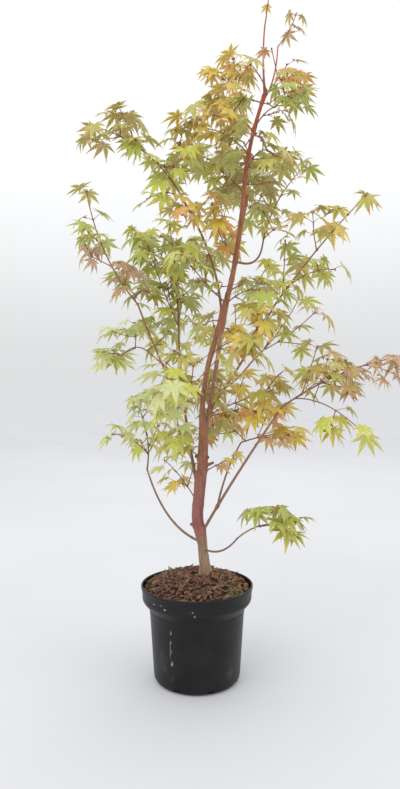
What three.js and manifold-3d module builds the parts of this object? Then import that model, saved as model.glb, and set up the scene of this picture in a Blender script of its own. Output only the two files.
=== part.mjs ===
// Potted coral bark maple: a young Japanese maple in a black 4-litre nursery pot.
//
// Millimetres, +Z up. The origin is the centre of the pot's flat underside, +X is the plant's right and
// +Y its back. The trunk and boughs are tapering limbs, and each mass of foliage is one fused solid of
// twigs and five-lobed leaves that a seeded rule grows along its stem and sprays.

import * as THREE from 'three';
import { mergeVertices } from 'three/addons/utils/BufferGeometryUtils.js';
import Module from 'manifold-3d';

const wasm = await Module();
wasm.setup();

// ---------------------------------------------------------------- driving dimensions

const GAP = 0.3;

const POT = {
  baseRadius: 70, footRadius: 79, cornerRise: 9, cornerInset: 3, cornerBevel: 2.5,
  neckRadius: 86.5, neckHeight: 130, collarRadius: 99.5, collarFoot: 145,
  rimRadius: 102.5, height: 172, lipRise: 1.5, lipInset: 0.8, wall: 2, floor: 3, floorInset: 4, sides: 32,
  notches: 8, notchDepth: 14, notchWidth: 11, notchHeight: 8, notchTurn: 18.9,
};

const SOIL = { edgeHeight: 163, crownHeight: 190, crownRadius: 30, footInset: 5, rings: 3 };

// Stations up the trunk: height, lean to the right, lean to the back, radius. The foot is cut flat.
const TRUNK = {
  sides: 8, stepsPerSpan: 2, foot: 190.3, footWidth: 80, footDepth: 40,
  stations: [
    [186, 15, 0, 12.6], [203, 14, -1, 9.8], [245, 10, -3, 9], [262, 7, -4, 10.5], [295, 1, -4, 10.8],
    [335, 4, -2, 10.8], [380, 9, 0, 10.4], [420, 11, 1, 10], [450, 11, 1, 8.2], [500, 10, -2, 5.6],
    [570, 20, -4, 5.6], [635, 38, -3, 6], [710, 59, 0, 5.4], [775, 72, 0, 5], [865, 84, 0, 4.6],
    [920, 89, 2, 4.4], [995, 102, 3, 4.1], [1075, 125, 0, 3.4],
  ],
};

// Stubs of pruned shoots on the trunk: height, azimuth in degrees (0 right, 90 back), length from the
// trunk's heart, radius.
const STUBS = [
  [401, 200, 15, 3.2], [399, 325, 14, 3], [386, 345, 23, 2.6], [276, 185, 17, 3], [700, 250, 9, 2.2],
];
const STUB_RISE = 0.35;
const STUB_TAPER = 0.8;

// Limbs: where each springs from and at what height there (its tip if no height is given), where it
// ends, how far its middle is bowed off the straight line, and its radius at both ends.
const LIMBS = [
  { name: 'second_stem', on: 'trunk', at: 412, to: [94, 9, 889],
    bow: [-3, 13, 0], radius: [4.4, 3] },
  { name: 'low_left', on: 'trunk', at: 248, to: [-100, 98, 368],
    bow: [-8, 0, -24], radius: [2.4, 1.7] },
  { name: 'left_main', on: 'trunk', at: 335, to: [-35, 50, 620],
    bow: [-6, -2, 0], radius: [3.2, 2] },
  { name: 'left_sweep', on: 'left_main', at: 492, to: [-105, -40, 680],
    bow: [-2, 5, -6], radius: [2.2, 1.5] },
  { name: 'left_back', on: 'left_main', at: 545, to: [-95, 78, 600],
    bow: [0, 4, 0], radius: [1.8, 1.4] },
  { name: 'upper_left', on: 'trunk', at: 660, to: [-18, -29, 858],
    bow: [14, 1, 0], radius: [2.4, 1.7] },
  { name: 'right_rise', on: 'second_stem', at: 488, to: [135, -60, 675],
    bow: [0, 0, -6], radius: [2.3, 1.7] },
  { name: 'right_inner', on: 'second_stem', at: 520, to: [104, 52, 580],
    bow: [0, 2, -10], radius: [2.2, 1.6] },
  { name: 'right_sweep', on: 'trunk', at: 262, to: [145, -90, 500],
    bow: [-6, 0, -4], radius: [2.7, 1.8] },
  { name: 'right_fork', on: 'right_sweep', at: 318, to: [85, 60, 425],
    bow: [-4, 0, 4], radius: [1.9, 1.4] },
  { name: 'low_right', on: 'trunk', at: 236, to: [68, -98, 278],
    bow: [2, -2, -12], radius: [1.9, 1.4] },
  { name: 'right_upper', on: 'trunk', at: 765, to: [124, 40, 800],
    bow: [8, -2, -16], radius: [2.3, 1.6] },
  { name: 'leader', on: 'trunk', to: [125, 0, 1200],
    bow: [-3, 0, 0], radius: [2, 1.3] },
  { name: 'leader_right', on: 'trunk', at: 1058, to: [150, 10, 1165],
    bow: [6, 2, -8], radius: [1.6, 1.2] },
];
const LIMB_SIDES = 6;
const LIMB_STEPS = 5;

// Masses of foliage: the limb that carries each and the height there (its tip if none), where the
// stem ends, its bow, the share of nodes that bear a side shoot, the tint and the seed. A spray forks
// off the stem at a share of its length.
const MASSES = [
  { name: 'leaves_leader_tip', on: 'leader', to: [134, -2, 1318], bow: [3, 0, 0],
    shoots: 0, leaf: 0.55, tint: 'orange', seed: 136 },
  { name: 'leaves_leader_right', on: 'leader_right', to: [187, 32, 1238], bow: [4, 0, 0],
    shoots: 0.4, leaf: 0.8, tint: 'brown', seed: 162 },
  { name: 'leaves_top', on: 'trunk', at: 1068, to: [156, -70, 1092], bow: [8, 0, 8],
    shoots: 0.4, leaf: 0.85, tint: 'coral', seed: 229,
    sprays: [{ at: 0.1, to: [92, -66, 1096], bow: [0, 0, 6] }] },
  { name: 'leaves_high_right', on: 'trunk', at: 1012, to: [152, -88, 1012], bow: [0, 0, 14],
    shoots: 0.3, leaf: 0.95, tint: 'green', seed: 253 },
  { name: 'leaves_high_left', on: 'trunk', at: 1004, to: [62, 52, 1156], bow: [-10, 0, -10],
    shoots: 0.55, leaf: 0.9, tint: 'lime', seed: 355 },
  { name: 'leaves_high_front', on: 'trunk', at: 962, to: [18, -92, 972], bow: [0, 0, 10],
    shoots: 0.4, leaf: 0.95, tint: 'olive', seed: 394 },
  { name: 'leaves_upper_front', on: 'trunk', at: 932, to: [128, -150, 905], bow: [0, 0, 22],
    shoots: 0.4, leaf: 1, tint: 'green', seed: 439 },
  { name: 'leaves_upper_back', on: 'trunk', at: 912, to: [118, 185, 905], bow: [0, 0, 20],
    shoots: 0.35, leaf: 1, tint: 'lime', seed: 496 },
  { name: 'leaves_upper_left', on: 'trunk', at: 890, to: [20, 118, 985], bow: [0, 0, 8],
    shoots: 0.4, leaf: 1, tint: 'lime', seed: 536 },
  { name: 'leaves_top_left', on: 'upper_left', to: [-172, -92, 975], bow: [10, 8, 25],
    shoots: 0.3, leaf: 0.95, tint: 'olive', seed: 566,
    sprays: [
      { at: 0.25, to: [-18, 34, 975], bow: [-4, 0, 6] },
      { at: 0.05, to: [-82, -98, 852], bow: [0, 0, 12] },
    ] },
  { name: 'leaves_left_rise', on: 'left_main', to: [-55, 82, 855], bow: [4, 0, 0],
    shoots: 0.4, leaf: 1, tint: 'green', seed: 613,
    sprays: [{ at: 0.12, to: [-90, -28, 792], bow: [0, 0, -6] }] },
  { name: 'leaves_far_left', on: 'left_sweep', to: [-185, -100, 862], bow: [-12, -8, -8],
    shoots: 0.3, leaf: 0.9, tint: 'brown', seed: 660,
    sprays: [{ at: 0.06, to: [-92, 34, 712], bow: [0, 0, 8] }] },
  { name: 'leaves_left_back', on: 'left_back', to: [-158, 128, 590], bow: [0, 0, 16],
    shoots: 0.6, leaf: 1, tint: 'green', seed: 746,
    sprays: [{ at: 0.05, to: [-70, 148, 618], bow: [0, 0, 6] }] },
  { name: 'leaves_low_left', on: 'low_left', to: [-128, 128, 508], bow: [12, 0, 0],
    shoots: 0.5, leaf: 1, tint: 'pale', seed: 803,
    sprays: [
      { at: 0.2, to: [-164, 70, 440], bow: [0, 0, 12] },
      { at: 0.3, to: [-58, 138, 486], bow: [0, 0, 6] },
    ] },
  { name: 'leaves_pale_low', on: 'trunk', at: 318, to: [-64, 78, 388], bow: [0, 0, 8],
    shoots: 0.2, leaf: 0.85, tint: 'pale', seed: 818 },
  { name: 'leaves_inner_low', on: 'trunk', at: 402, to: [-32, -104, 498], bow: [-14, 0, -8],
    shoots: 0.3, leaf: 0.95, tint: 'lime', seed: 878 },
  { name: 'leaves_inner_left', on: 'trunk', at: 688, to: [-26, -96, 762], bow: [0, 0, -6],
    shoots: 0.5, leaf: 1, tint: 'olive', seed: 914 },
  { name: 'leaves_orange', on: 'trunk', at: 772, to: [26, -88, 846], bow: [-6, 0, -10],
    shoots: 0.6, leaf: 1, tint: 'orange', seed: 975 },
  { name: 'leaves_right_top', on: 'right_rise', to: [276, -130, 846], bow: [0, 0, 8],
    shoots: 0.3, leaf: 0.95, tint: 'lime', seed: 1058,
    sprays: [
      { at: 0.16, to: [252, -8, 748], bow: [0, 0, 10] },
      { at: 0.1, to: [160, -22, 796], bow: [0, 0, 0] },
    ] },
  { name: 'leaves_right_mid', on: 'right_inner', to: [206, 116, 712], bow: [6, 0, -4],
    shoots: 0.45, leaf: 1, tint: 'green', seed: 1075,
    sprays: [{ at: 0.2, to: [220, 18, 672], bow: [0, 0, -6] }] },
  { name: 'leaves_far_right', on: 'right_sweep', to: [352, -130, 586], bow: [0, 0, 16],
    shoots: 0.25, leaf: 0.95, tint: 'rust', seed: 1149,
    sprays: [
      { at: 0.1, to: [258, -172, 466], bow: [0, 0, 14] },
      { at: 0.16, to: [212, -52, 604], bow: [0, 0, 0] },
    ] },
  { name: 'leaves_centre_right', on: 'trunk', at: 476, to: [132, -64, 528], bow: [0, -6, 4],
    shoots: 0.5, leaf: 1, tint: 'gold', seed: 1194 },
  { name: 'leaves_orange_low', on: 'right_fork', to: [190, 52, 446], bow: [0, 0, 4],
    shoots: 0.5, leaf: 1, tint: 'gold', seed: 1233,
    sprays: [{ at: 0.08, to: [52, 122, 452], bow: [0, 0, 6] }] },
  { name: 'leaves_low_right', on: 'low_right', to: [146, -132, 306], bow: [0, 0, 12],
    shoots: 0.7, leaf: 1, tint: 'olive', seed: 1255 },
  { name: 'leaves_front_right', on: 'trunk', at: 684, to: [124, -146, 684], bow: [0, 0, 16],
    shoots: 0.5, leaf: 1, tint: 'green', seed: 1321 },
  { name: 'leaves_back_right', on: 'second_stem', at: 712, to: [166, 170, 744], bow: [0, 0, 14],
    shoots: 0.4, leaf: 1, tint: 'green', seed: 1359 },
  { name: 'leaves_front_low', on: 'trunk', at: 592, to: [96, -176, 602], bow: [0, 0, 14],
    shoots: 0.35, leaf: 1, tint: 'olive', seed: 1434 },
  { name: 'leaves_right_upper', on: 'right_upper', to: [216, 88, 972], bow: [-14, 0, 6],
    shoots: 0.35, leaf: 0.95, tint: 'green', seed: 1478,
    sprays: [{ at: 0.08, to: [160, -32, 822], bow: [0, 0, 6] }] },
  { name: 'leaves_back_mid', on: 'second_stem', at: 652, to: [-5, 196, 636], bow: [0, 0, 18],
    shoots: 0.4, leaf: 1, tint: 'green', seed: 1505 },
  { name: 'leaves_back_low', on: 'second_stem', at: 470, to: [66, 190, 452], bow: [0, 0, 16],
    shoots: 0.3, leaf: 1, tint: 'lime', seed: 1596 },
  { name: 'leaves_front_mid', on: 'trunk', at: 512, to: [-46, -172, 548], bow: [0, 0, 8],
    shoots: 0.3, leaf: 1, tint: 'lime', seed: 1623 },
  { name: 'leaves_back_high', on: 'second_stem', at: 812, to: [40, 178, 806], bow: [0, 0, 18],
    shoots: 0.4, leaf: 1, tint: 'olive', seed: 1667 },
  { name: 'leaves_sprout', on: 'trunk', at: 372, to: [66, -34, 404], bow: [0, 0, 4],
    shoots: 0, leaf: 0.75, tint: 'orange', seed: 1728 },
];

const TWIG = { sides: 3, stemRadius: 1.8, sprayRadius: 1.5, shootRadius: 1.3, tipRadius: 1.1 };

// Nodes sit a step apart, each sunk a little below its ring, and bear pairs that point outward and ahead.
const NODE = { step: 40, sink: 4, outward: 0.8, ahead: 0.55 };

// A side shoot rises off its heading; its leaves spread from it, the pair twisted about it.
const SHOOT = { length: [26, 48], rise: 0.25, spread: 0.45, twist: 50, sampleShares: [1, 0.7, 0.4] };

// A stalk wanders off its heading, further at each try, and climbs no steeper than its rise.
const STALK = { radius: 0.5, length: [12, 24], rise: 0.35, wander: 0.5, wanderStep: 0.25, sampleShare: 0.6 };

// A leaf is taken at a share of the buds, and kept where the points that stand for it are clear.
const LEAF = {
  length: 41, lengthShare: [0.8, 1.12], thickness: 1.5, heart: 0.12, droop: [5, 62], roll: 32,
  tries: 8, budShare: 0.3, sampleShares: [0.4, 0.7, 0.97], searchReach: 2.2,
};

// Lobes of half a leaf from its tip lobe down: angle off the midrib in degrees and share of the length;
// the points between two lobes are the bays.
const LOBES = [[0, 1], [22, 0.4], [44, 0.9], [68, 0.36], [98, 0.62]];
const LOBE_DROOP = 0.2;
const CLEARANCE = { limb: 4, twig: 3.2, leaf: 8.5 };

const COLOURS = {
  pot: 0x262626, soil: 0x6b4030, bark: 0x9a5a4c, stem: 0x9c6450, green: 0x8c9c4a, lime: 0xaab45a,
  olive: 0x989048, pale: 0xb4ba84, gold: 0xc2a650, orange: 0xc88c50, coral: 0xc07a5c, rust: 0xa97c6c,
  brown: 0xa8885c,
};

// ---------------------------------------------------------------- small helpers

const UP = new THREE.Vector3(0, 0, 1);
const vec = (p) => new THREE.Vector3(...p);
const radians = THREE.MathUtils.degToRad;

function seededRandom(seed) {
  let state = seed;
  return () => {
    state = (state + 0x6d2b79f5) | 0;
    let bits = Math.imul(state ^ (state >>> 15), 1 | state);
    bits = (bits + Math.imul(bits ^ (bits >>> 7), 61 | bits)) ^ bits;
    return ((bits ^ (bits >>> 14)) >>> 0) / 4294967296;
  };
}

function material(colour, roughness) {
  return new THREE.MeshStandardMaterial({ color: colour, roughness, metalness: 0 });
}

function toSolid(geometry) {
  geometry.deleteAttribute('normal');
  geometry.deleteAttribute('uv');
  const merged = mergeVertices(geometry, 1e-4);
  const mesh = { numProp: 3, vertProperties: new Float32Array(merged.attributes.position.array),
    triVerts: new Uint32Array(merged.index.array) };
  return new wasm.Manifold(new wasm.Mesh(mesh));
}

function toGeometry(solid) {
  const mesh = solid.getMesh();
  const geometry = new THREE.BufferGeometry();
  geometry.setAttribute('position', new THREE.BufferAttribute(mesh.vertProperties, 3));
  geometry.setIndex(new THREE.BufferAttribute(mesh.triVerts, 1));
  return geometry;
}

// The largest piece of a fused solid, without loose scraps or sealed hollows.
function mainPiece(solid) {
  const pieces = solid.decompose();
  return pieces.reduce((best, piece) => (piece.volume() > best.volume() ? piece : best));
}

function named(name, geometry, colour, roughness) {
  const mesh = new THREE.Mesh(geometry, material(colour, roughness));
  mesh.name = name;
  return mesh;
}

// A lathe turned about +Z from points of (radius, height).
function turned(profile, sides) {
  const points = profile.map(([radius, height]) => new THREE.Vector2(radius, height));
  const geometry = new THREE.LatheGeometry(points, sides);
  return geometry.rotateX(Math.PI / 2);
}

// ---------------------------------------------------------------- limbs

// A closed tapering tube: one ring of vertices at each point of a path, with flat ends.
function taperedTube(points, radii, sides) {
  const positions = [];
  const index = [];
  let side = new THREE.Vector3(1, 0, 0);
  points.forEach((point, i) => {
    const ahead = points[Math.min(i + 1, points.length - 1)];
    const behind = points[Math.max(i - 1, 0)];
    const along = ahead.clone().sub(behind).normalize();
    if (Math.abs(side.dot(along)) > 0.95) side = new THREE.Vector3(0, 1, 0);
    side.addScaledVector(along, -side.dot(along)).normalize();
    const across = along.clone().cross(side);
    for (let k = 0; k < sides; k += 1) {
      const angle = (2 * Math.PI * k) / sides;
      const vertex = point.clone();
      vertex.addScaledVector(side, radii[i] * Math.cos(angle));
      vertex.addScaledVector(across, radii[i] * Math.sin(angle));
      positions.push(...vertex.toArray());
    }
  });
  const ring = (i, k) => i * sides + (k % sides);
  for (let i = 0; i + 1 < points.length; i += 1) {
    for (let k = 0; k < sides; k += 1) {
      index.push(ring(i, k), ring(i, k + 1), ring(i + 1, k + 1));
      index.push(ring(i, k), ring(i + 1, k + 1), ring(i + 1, k));
    }
  }
  const last = points.length - 1;
  for (let k = 1; k + 1 < sides; k += 1) {
    index.push(ring(0, 0), ring(0, k + 1), ring(0, k));
    index.push(ring(last, 0), ring(last, k), ring(last, k + 1));
  }
  const geometry = new THREE.BufferGeometry();
  geometry.setAttribute('position', new THREE.Float32BufferAttribute(positions, 3));
  geometry.setIndex(index);
  return geometry;
}

// A curve from start to end whose middle is pushed off the straight line by the bow.
function bowed(start, end, bow) {
  const control = start.clone().add(end).multiplyScalar(0.5).addScaledVector(vec(bow), 2);
  return new THREE.QuadraticBezierCurve3(start, control, end);
}

function sampled(curve, steps, radiusStart, radiusEnd) {
  const shares = Array.from({ length: steps + 1 }, (_, i) => i / steps);
  const points = shares.map((share) => curve.getPoint(share));
  const radii = shares.map((share) => radiusStart + (radiusEnd - radiusStart) * share);
  return { points, radii };
}

function trunkPath() {
  const { stations, stepsPerSpan } = TRUNK;
  const hearts = stations.map(([z, x, y]) => vec([x, y, z]));
  const curve = new THREE.CatmullRomCurve3(hearts, false, 'catmullrom');
  const steps = (stations.length - 1) * stepsPerSpan;
  const points = [];
  const radii = [];
  for (let i = 0; i <= steps; i += 1) {
    const span = Math.min(Math.floor(i / stepsPerSpan), stations.length - 2);
    const share = i / stepsPerSpan - span;
    points.push(curve.getPoint(i / steps));
    radii.push(stations[span][3] * (1 - share) + stations[span + 1][3] * share);
  }
  return { points, radii, sides: TRUNK.sides };
}

// The heart of a limb at a height, or at its tip.
function stationOn({ points }, height) {
  const last = points.length - 1;
  if (height === undefined) return points[last];
  const i = points.findIndex((point) => point.z >= height);
  const share = (height - points[i - 1].z) / (points[i].z - points[i - 1].z);
  return points[i - 1].clone().lerp(points[i], share);
}

// The curve of a limb or stem that springs from the heart of its carrier.
function springFrom(carrier, height, to, bow) {
  return bowed(stationOn(carrier, height), vec(to), bow);
}

// Cuts a limb or mass back to a gap clear of the limb that carries it.
function clearOf(solid, { points, radii, sides }) {
  const last = points.length - 1;
  const along = points[last].clone().sub(points[last - 1]).normalize();
  const longer = [...points.slice(0, last), points[last].clone().addScaledVector(along, GAP)];
  const fatter = radii.map((radius) => radius + GAP);
  return mainPiece(solid.subtract(toSolid(taperedTube(longer, fatter, sides))));
}

function growLimbs() {
  const limbs = { trunk: trunkPath() };
  for (const { name, on, at, to, bow, radius: [base, tip] } of LIMBS) {
    const path = sampled(springFrom(limbs[on], at, to, bow), LIMB_STEPS, base, tip);
    limbs[name] = { ...path, sides: LIMB_SIDES, carrier: limbs[on] };
  }
  return limbs;
}

function limbMesh(name, { points, radii, sides, carrier }) {
  const solid = clearOf(toSolid(taperedTube(points, radii, sides)), carrier);
  return named(name, toGeometry(solid), COLOURS.stem, 0.6);
}

function trunkMesh(limb) {
  const stubs = STUBS.map(([height, azimuth, length, radius]) => {
    const heart = stationOn(limb, height);
    const heading = vec([Math.cos(radians(azimuth)), Math.sin(radians(azimuth)), STUB_RISE]).normalize();
    const end = heart.clone().addScaledVector(heading, length);
    return toSolid(taperedTube([heart, end], [radius, radius * STUB_TAPER], LIMB_SIDES));
  });
  const shaft = toSolid(taperedTube(limb.points, limb.radii, TRUNK.sides));
  const whole = stubs.reduce((solid, stub) => solid.add(stub), shaft);
  const { foot, footWidth, footDepth } = TRUNK;
  const ground = new THREE.BoxGeometry(footWidth, footWidth, footDepth).translate(0, 0, foot - footDepth / 2);
  return named('trunk', toGeometry(mainPiece(whole.subtract(toSolid(ground)))), COLOURS.bark, 0.6);
}

// ---------------------------------------------------------------- masses of foliage

// Distance from a point to the stretch between two others.
function stretchDistance(point, a, b) {
  const line = b.clone().sub(a);
  const share = THREE.MathUtils.clamp(point.clone().sub(a).dot(line) / line.lengthSq(), 0, 1);
  return point.distanceTo(a.clone().addScaledVector(line, share));
}

function nearLimb(point, limbs, margin) {
  return Object.values(limbs).some(({ points, radii }) => points.some((end, i) => {
    if (i === 0) return false;
    return stretchDistance(point, points[i - 1], end) < Math.max(radii[i - 1], radii[i]) + margin;
  }));
}

// Axes of a leaf: base point, midrib direction, normal and length, with its lobes' points worked out.
function leafAt(base, heading, droop, roll, length) {
  const flat = vec([heading.x, heading.y, 0]);
  if (flat.length() < 0.05) flat.set(1, 0, 0);
  flat.normalize();
  const midrib = flat.multiplyScalar(Math.cos(droop)).addScaledVector(UP, -Math.sin(droop));
  const across = midrib.clone().cross(UP).normalize().applyAxisAngle(midrib, roll);
  const normal = across.clone().cross(midrib);
  const outline = [];
  const half = LOBES.length - 1;
  for (let k = -half; k <= half; k += 1) {
    const [angle, reach] = LOBES[Math.abs(k)];
    const turn = radians(angle) * Math.sign(k);
    const lobe = k % 2 === 0 ? LOBE_DROOP * reach : 0;
    const point = base.clone().addScaledVector(midrib, length * reach * Math.cos(turn));
    point.addScaledVector(across, length * reach * Math.sin(turn));
    outline.push(point.addScaledVector(normal, -length * lobe * reach));
  }
  return { base, midrib, across, normal, length, outline };
}

// The three corners of a stalk's section: left, right and top.
function stalkCorners(centre, across, normal, radius) {
  const corner = (sideways, above) => centre.clone()
    .addScaledVector(across, sideways * radius).addScaledVector(normal, above * radius);
  return [corner(1, -0.5), corner(-1, -0.5), corner(0, 1)];
}

// A leaf is a star of lobes between two apexes over its heart, on a three-sided stalk from its node.
function leafSolid({ base, midrib, across, normal, length, outline, node }) {
  const heart = base.clone().addScaledVector(midrib, LEAF.heart * length);
  const over = heart.clone().addScaledVector(normal, LEAF.thickness / 2);
  const under = heart.clone().addScaledVector(normal, -LEAF.thickness / 2);
  const stalk = base.clone().sub(node).normalize();
  const footAcross = across.clone().addScaledVector(stalk, -stalk.dot(across)).normalize();
  const neck = stalkCorners(base, across, normal, STALK.radius);
  const foot = stalkCorners(node, footAcross, footAcross.clone().cross(stalk), STALK.radius);
  const ring = [...outline, neck[0], neck[1]];
  const positions = [...ring, over, under, ...foot].flatMap((point) => point.toArray());
  const [right, left] = [ring.length - 1, ring.length - 2];
  const [apex, floor, footLeft, footRight, footTop] = ring.map((_, k) => ring.length + k);
  const index = [];
  for (let k = 0; k < left; k += 1) index.push(k, apex, k + 1, k + 1, floor, k);
  index.push(right, apex, 0, 0, floor, right, right, floor, left);
  index.push(left, apex, footTop, left, footTop, footLeft);
  index.push(apex, right, footRight, apex, footRight, footTop);
  index.push(right, left, footLeft, right, footLeft, footRight);
  index.push(footLeft, footTop, footRight);
  const geometry = new THREE.BufferGeometry();
  geometry.setAttribute('position', new THREE.Float32BufferAttribute(positions, 3));
  geometry.setIndex(index);
  return toSolid(geometry);
}

// Points that stand for a leaf and its stalk in the clearance tests.
function leafSamples({ base, outline }, node) {
  const lobes = outline.filter((_, k) => k % 2 === 0);
  const blade = lobes.flatMap((tip) => LEAF.sampleShares.map((share) => base.clone().lerp(tip, share)));
  return [base, node.clone().lerp(base, STALK.sampleShare), ...blade];
}

// Whether points keep clear of the limbs, of other twigs and of other leaves.
function isClear(points, crown, ownStretch) {
  if (points.some((point) => nearLimb(point, crown.limbs, CLEARANCE.limb))) return false;
  const nearTwig = (twig) => twig !== ownStretch
    && points.some((point) => stretchDistance(point, twig.start, twig.end) < CLEARANCE.twig);
  if (crown.twigs.some(nearTwig)) return false;
  const reach = LEAF.searchReach * LEAF.length;
  const close = crown.leaves.filter((other) => other.base.distanceTo(points[0]) < reach);
  return !close.some(({ samples }) => samples.some(
    (there) => points.some((here) => here.distanceTo(there) < CLEARANCE.leaf)));
}

// A twig is solid wood in its mass; the crown keeps its straight stretches for the clearance tests.
function addTwig(mass, crown, points, radii) {
  mass.twigs.push({ points, radii });
  const stretches = points.slice(1).map((end, i) => ({ start: points[i], end }));
  crown.twigs.push(...stretches);
  return stretches;
}

function between(random, [low, high]) {
  return low + (high - low) * random();
}

// Tries a few hangs of one leaf at a node of a twig, and keeps the first that is clear.
function growLeaf(mass, crown, stretch, node, heading, budShare = LEAF.budShare) {
  const { random, spec } = mass;
  if (random() > budShare) return;
  for (let attempt = 0; attempt < LEAF.tries; attempt += 1) {
    const lean = vec([random() - 0.5, random() - 0.5, random() - 0.3]);
    const wander = STALK.wander + STALK.wanderStep * attempt;
    const stalk = heading.clone().addScaledVector(lean, wander).normalize();
    stalk.setZ(Math.min(stalk.z, STALK.rise)).normalize();
    const base = node.clone().addScaledVector(stalk, between(random, STALK.length) * spec.leaf);
    const droop = radians(between(random, LEAF.droop));
    const roll = radians(between(random, [-LEAF.roll, LEAF.roll]));
    const length = LEAF.length * spec.leaf * between(random, LEAF.lengthShare);
    const leaf = leafAt(base, stalk, droop, roll, length);
    const samples = leafSamples(leaf, node);
    if (isClear(samples, crown, stretch)) {
      mass.leaves.push({ ...leaf, node });
      crown.leaves.push({ base, samples });
      crown.twigs.push({ start: node, end: base });
      return;
    }
  }
}

// A side shoot: a short twig with a pair of leaves and one at its tip.
function growShoot(mass, crown, ownStretch, root, heading) {
  const aim = heading.clone().addScaledVector(UP, SHOOT.rise).normalize();
  const tip = root.clone().addScaledVector(aim, between(mass.random, SHOOT.length));
  const samples = SHOOT.sampleShares.map((share) => root.clone().lerp(tip, share));
  if (!isClear(samples, crown, ownStretch)) return;
  const [stretch] = addTwig(mass, crown, [root, tip], [TWIG.shootRadius, TWIG.tipRadius]);
  const node = tip.clone().addScaledVector(aim, -NODE.sink);
  const twist = radians(between(mass.random, [-SHOOT.twist, SHOOT.twist]));
  const across = aim.clone().cross(UP).normalize().applyAxisAngle(aim, twist);
  for (const side of [-1, 1]) {
    const sideways = aim.clone().multiplyScalar(SHOOT.spread).addScaledVector(across, side).normalize();
    growLeaf(mass, crown, stretch, node, sideways);
  }
  growLeaf(mass, crown, stretch, node, aim);
}

// Lays one stem or spray of a mass along its curve, with a ring at each node.
function layTwig(mass, crown, curve, radiusStart) {
  const nodes = Math.max(2, Math.round(curve.getLength() / NODE.step));
  const { points, radii } = sampled(curve, nodes, radiusStart, TWIG.tipRadius);
  mass.sprays.push({ points, stretches: addTwig(mass, crown, points, radii) });
}

function layOut(spec, crown) {
  const mass = { spec, random: seededRandom(spec.seed), twigs: [], sprays: [], leaves: [] };
  const stem = springFrom(crown.limbs[spec.on], spec.at, spec.to, spec.bow);
  layTwig(mass, crown, stem, TWIG.stemRadius);
  for (const { at, to, bow } of spec.sprays ?? []) {
    layTwig(mass, crown, bowed(stem.getPoint(at), vec(to), bow), TWIG.sprayRadius);
  }
  return mass;
}

// Opposite pairs of leaves or shoots at each node, each pair turned a quarter from the last.
function clothe(mass, crown, { points, stretches }) {
  const { random, spec } = mass;
  let turn = radians(between(random, [0, 90]));
  stretches.forEach((stretch, i) => {
    const along = points[i + 1].clone().sub(points[i]).normalize();
    const node = points[i + 1].clone().addScaledVector(along, -NODE.sink);
    const across = along.clone().cross(UP).normalize();
    const isTip = i === stretches.length - 1;
    turn += Math.PI / 2;
    for (const side of [0, Math.PI]) {
      const outward = across.clone().applyAxisAngle(along, turn + side);
      const heading = outward.multiplyScalar(NODE.outward).addScaledVector(along, NODE.ahead).normalize();
      if (!isTip && random() < spec.shoots) growShoot(mass, crown, stretch, node, heading);
      else growLeaf(mass, crown, stretch, node, heading, isTip ? 1 : LEAF.budShare);
    }
  });
}

function massMesh({ spec, twigs, leaves }, limbs) {
  const wood = twigs.map(({ points, radii }) => toSolid(taperedTube(points, radii, TWIG.sides)));
  const fused = wasm.Manifold.union([...wood, ...leaves.map(leafSolid)]);
  return named(spec.name, toGeometry(clearOf(fused, limbs[spec.on])), COLOURS[spec.tint], 0.65);
}

// ---------------------------------------------------------------- pot and soil

function potMesh() {
  const p = POT;
  const inner = (radius) => radius - p.wall;
  const profile = [
    [0, 0], [p.baseRadius, 0], [p.footRadius - p.cornerInset, p.cornerBevel], [p.footRadius, p.cornerRise],
    [p.neckRadius, p.neckHeight], [p.collarRadius, p.collarFoot], [p.rimRadius, p.height - p.lipRise],
    [p.rimRadius - p.lipInset, p.height], [inner(p.rimRadius), p.height],
    [inner(p.collarRadius), p.collarFoot], [inner(p.neckRadius), p.neckHeight],
    [inner(p.footRadius), p.cornerRise], [inner(p.footRadius) - p.floorInset, p.floor], [0, p.floor],
  ];
  let solid = toSolid(turned(profile, p.sides));
  for (let k = 0; k < p.notches; k += 1) {
    const notch = new THREE.BoxGeometry(p.notchDepth, p.notchWidth, 2 * p.notchHeight);
    notch.translate(p.footRadius, 0, 0);
    notch.rotateZ(radians(p.notchTurn) + (2 * Math.PI * k) / p.notches);
    solid = solid.subtract(toSolid(notch));
  }
  return named('pot', toGeometry(mainPiece(solid)), COLOURS.pot, 0.45);
}

function soilMesh() {
  const p = POT;
  const inset = p.wall + 2 * GAP;
  const top = [];
  for (let k = 0; k <= SOIL.rings; k += 1) {
    const share = k / SOIL.rings;
    const radius = (p.collarRadius - inset) * (1 - share) + SOIL.crownRadius * share;
    const rise = (SOIL.crownHeight - SOIL.edgeHeight) * Math.sin((share * Math.PI) / 2);
    top.push([radius, SOIL.edgeHeight + rise]);
  }
  const profile = [
    [0, p.floor + GAP], [p.footRadius - inset - SOIL.footInset, p.floor + GAP],
    [p.footRadius - inset, p.cornerRise + GAP], [p.neckRadius - inset, p.neckHeight],
    [p.collarRadius - inset, p.collarFoot + GAP], ...top, [0, SOIL.crownHeight],
  ];
  return named('soil', toGeometry(toSolid(turned(profile, p.sides))), COLOURS.soil, 0.95);
}

// ---------------------------------------------------------------- the plant

function maple() {
  const plant = new THREE.Group();
  plant.name = 'potted_coral_bark_maple';
  plant.add(potMesh(), soilMesh());
  const limbs = growLimbs();
  plant.add(trunkMesh(limbs.trunk));
  for (const { name } of LIMBS) plant.add(limbMesh(name, limbs[name]));
  const crown = { limbs, twigs: [], leaves: [] };
  const masses = MASSES.map((spec) => layOut(spec, crown));
  for (const mass of masses) {
    mass.sprays.forEach((spray) => clothe(mass, crown, spray));
    plant.add(massMesh(mass, limbs));
  }
  return plant;
}

export default maple();
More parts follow.
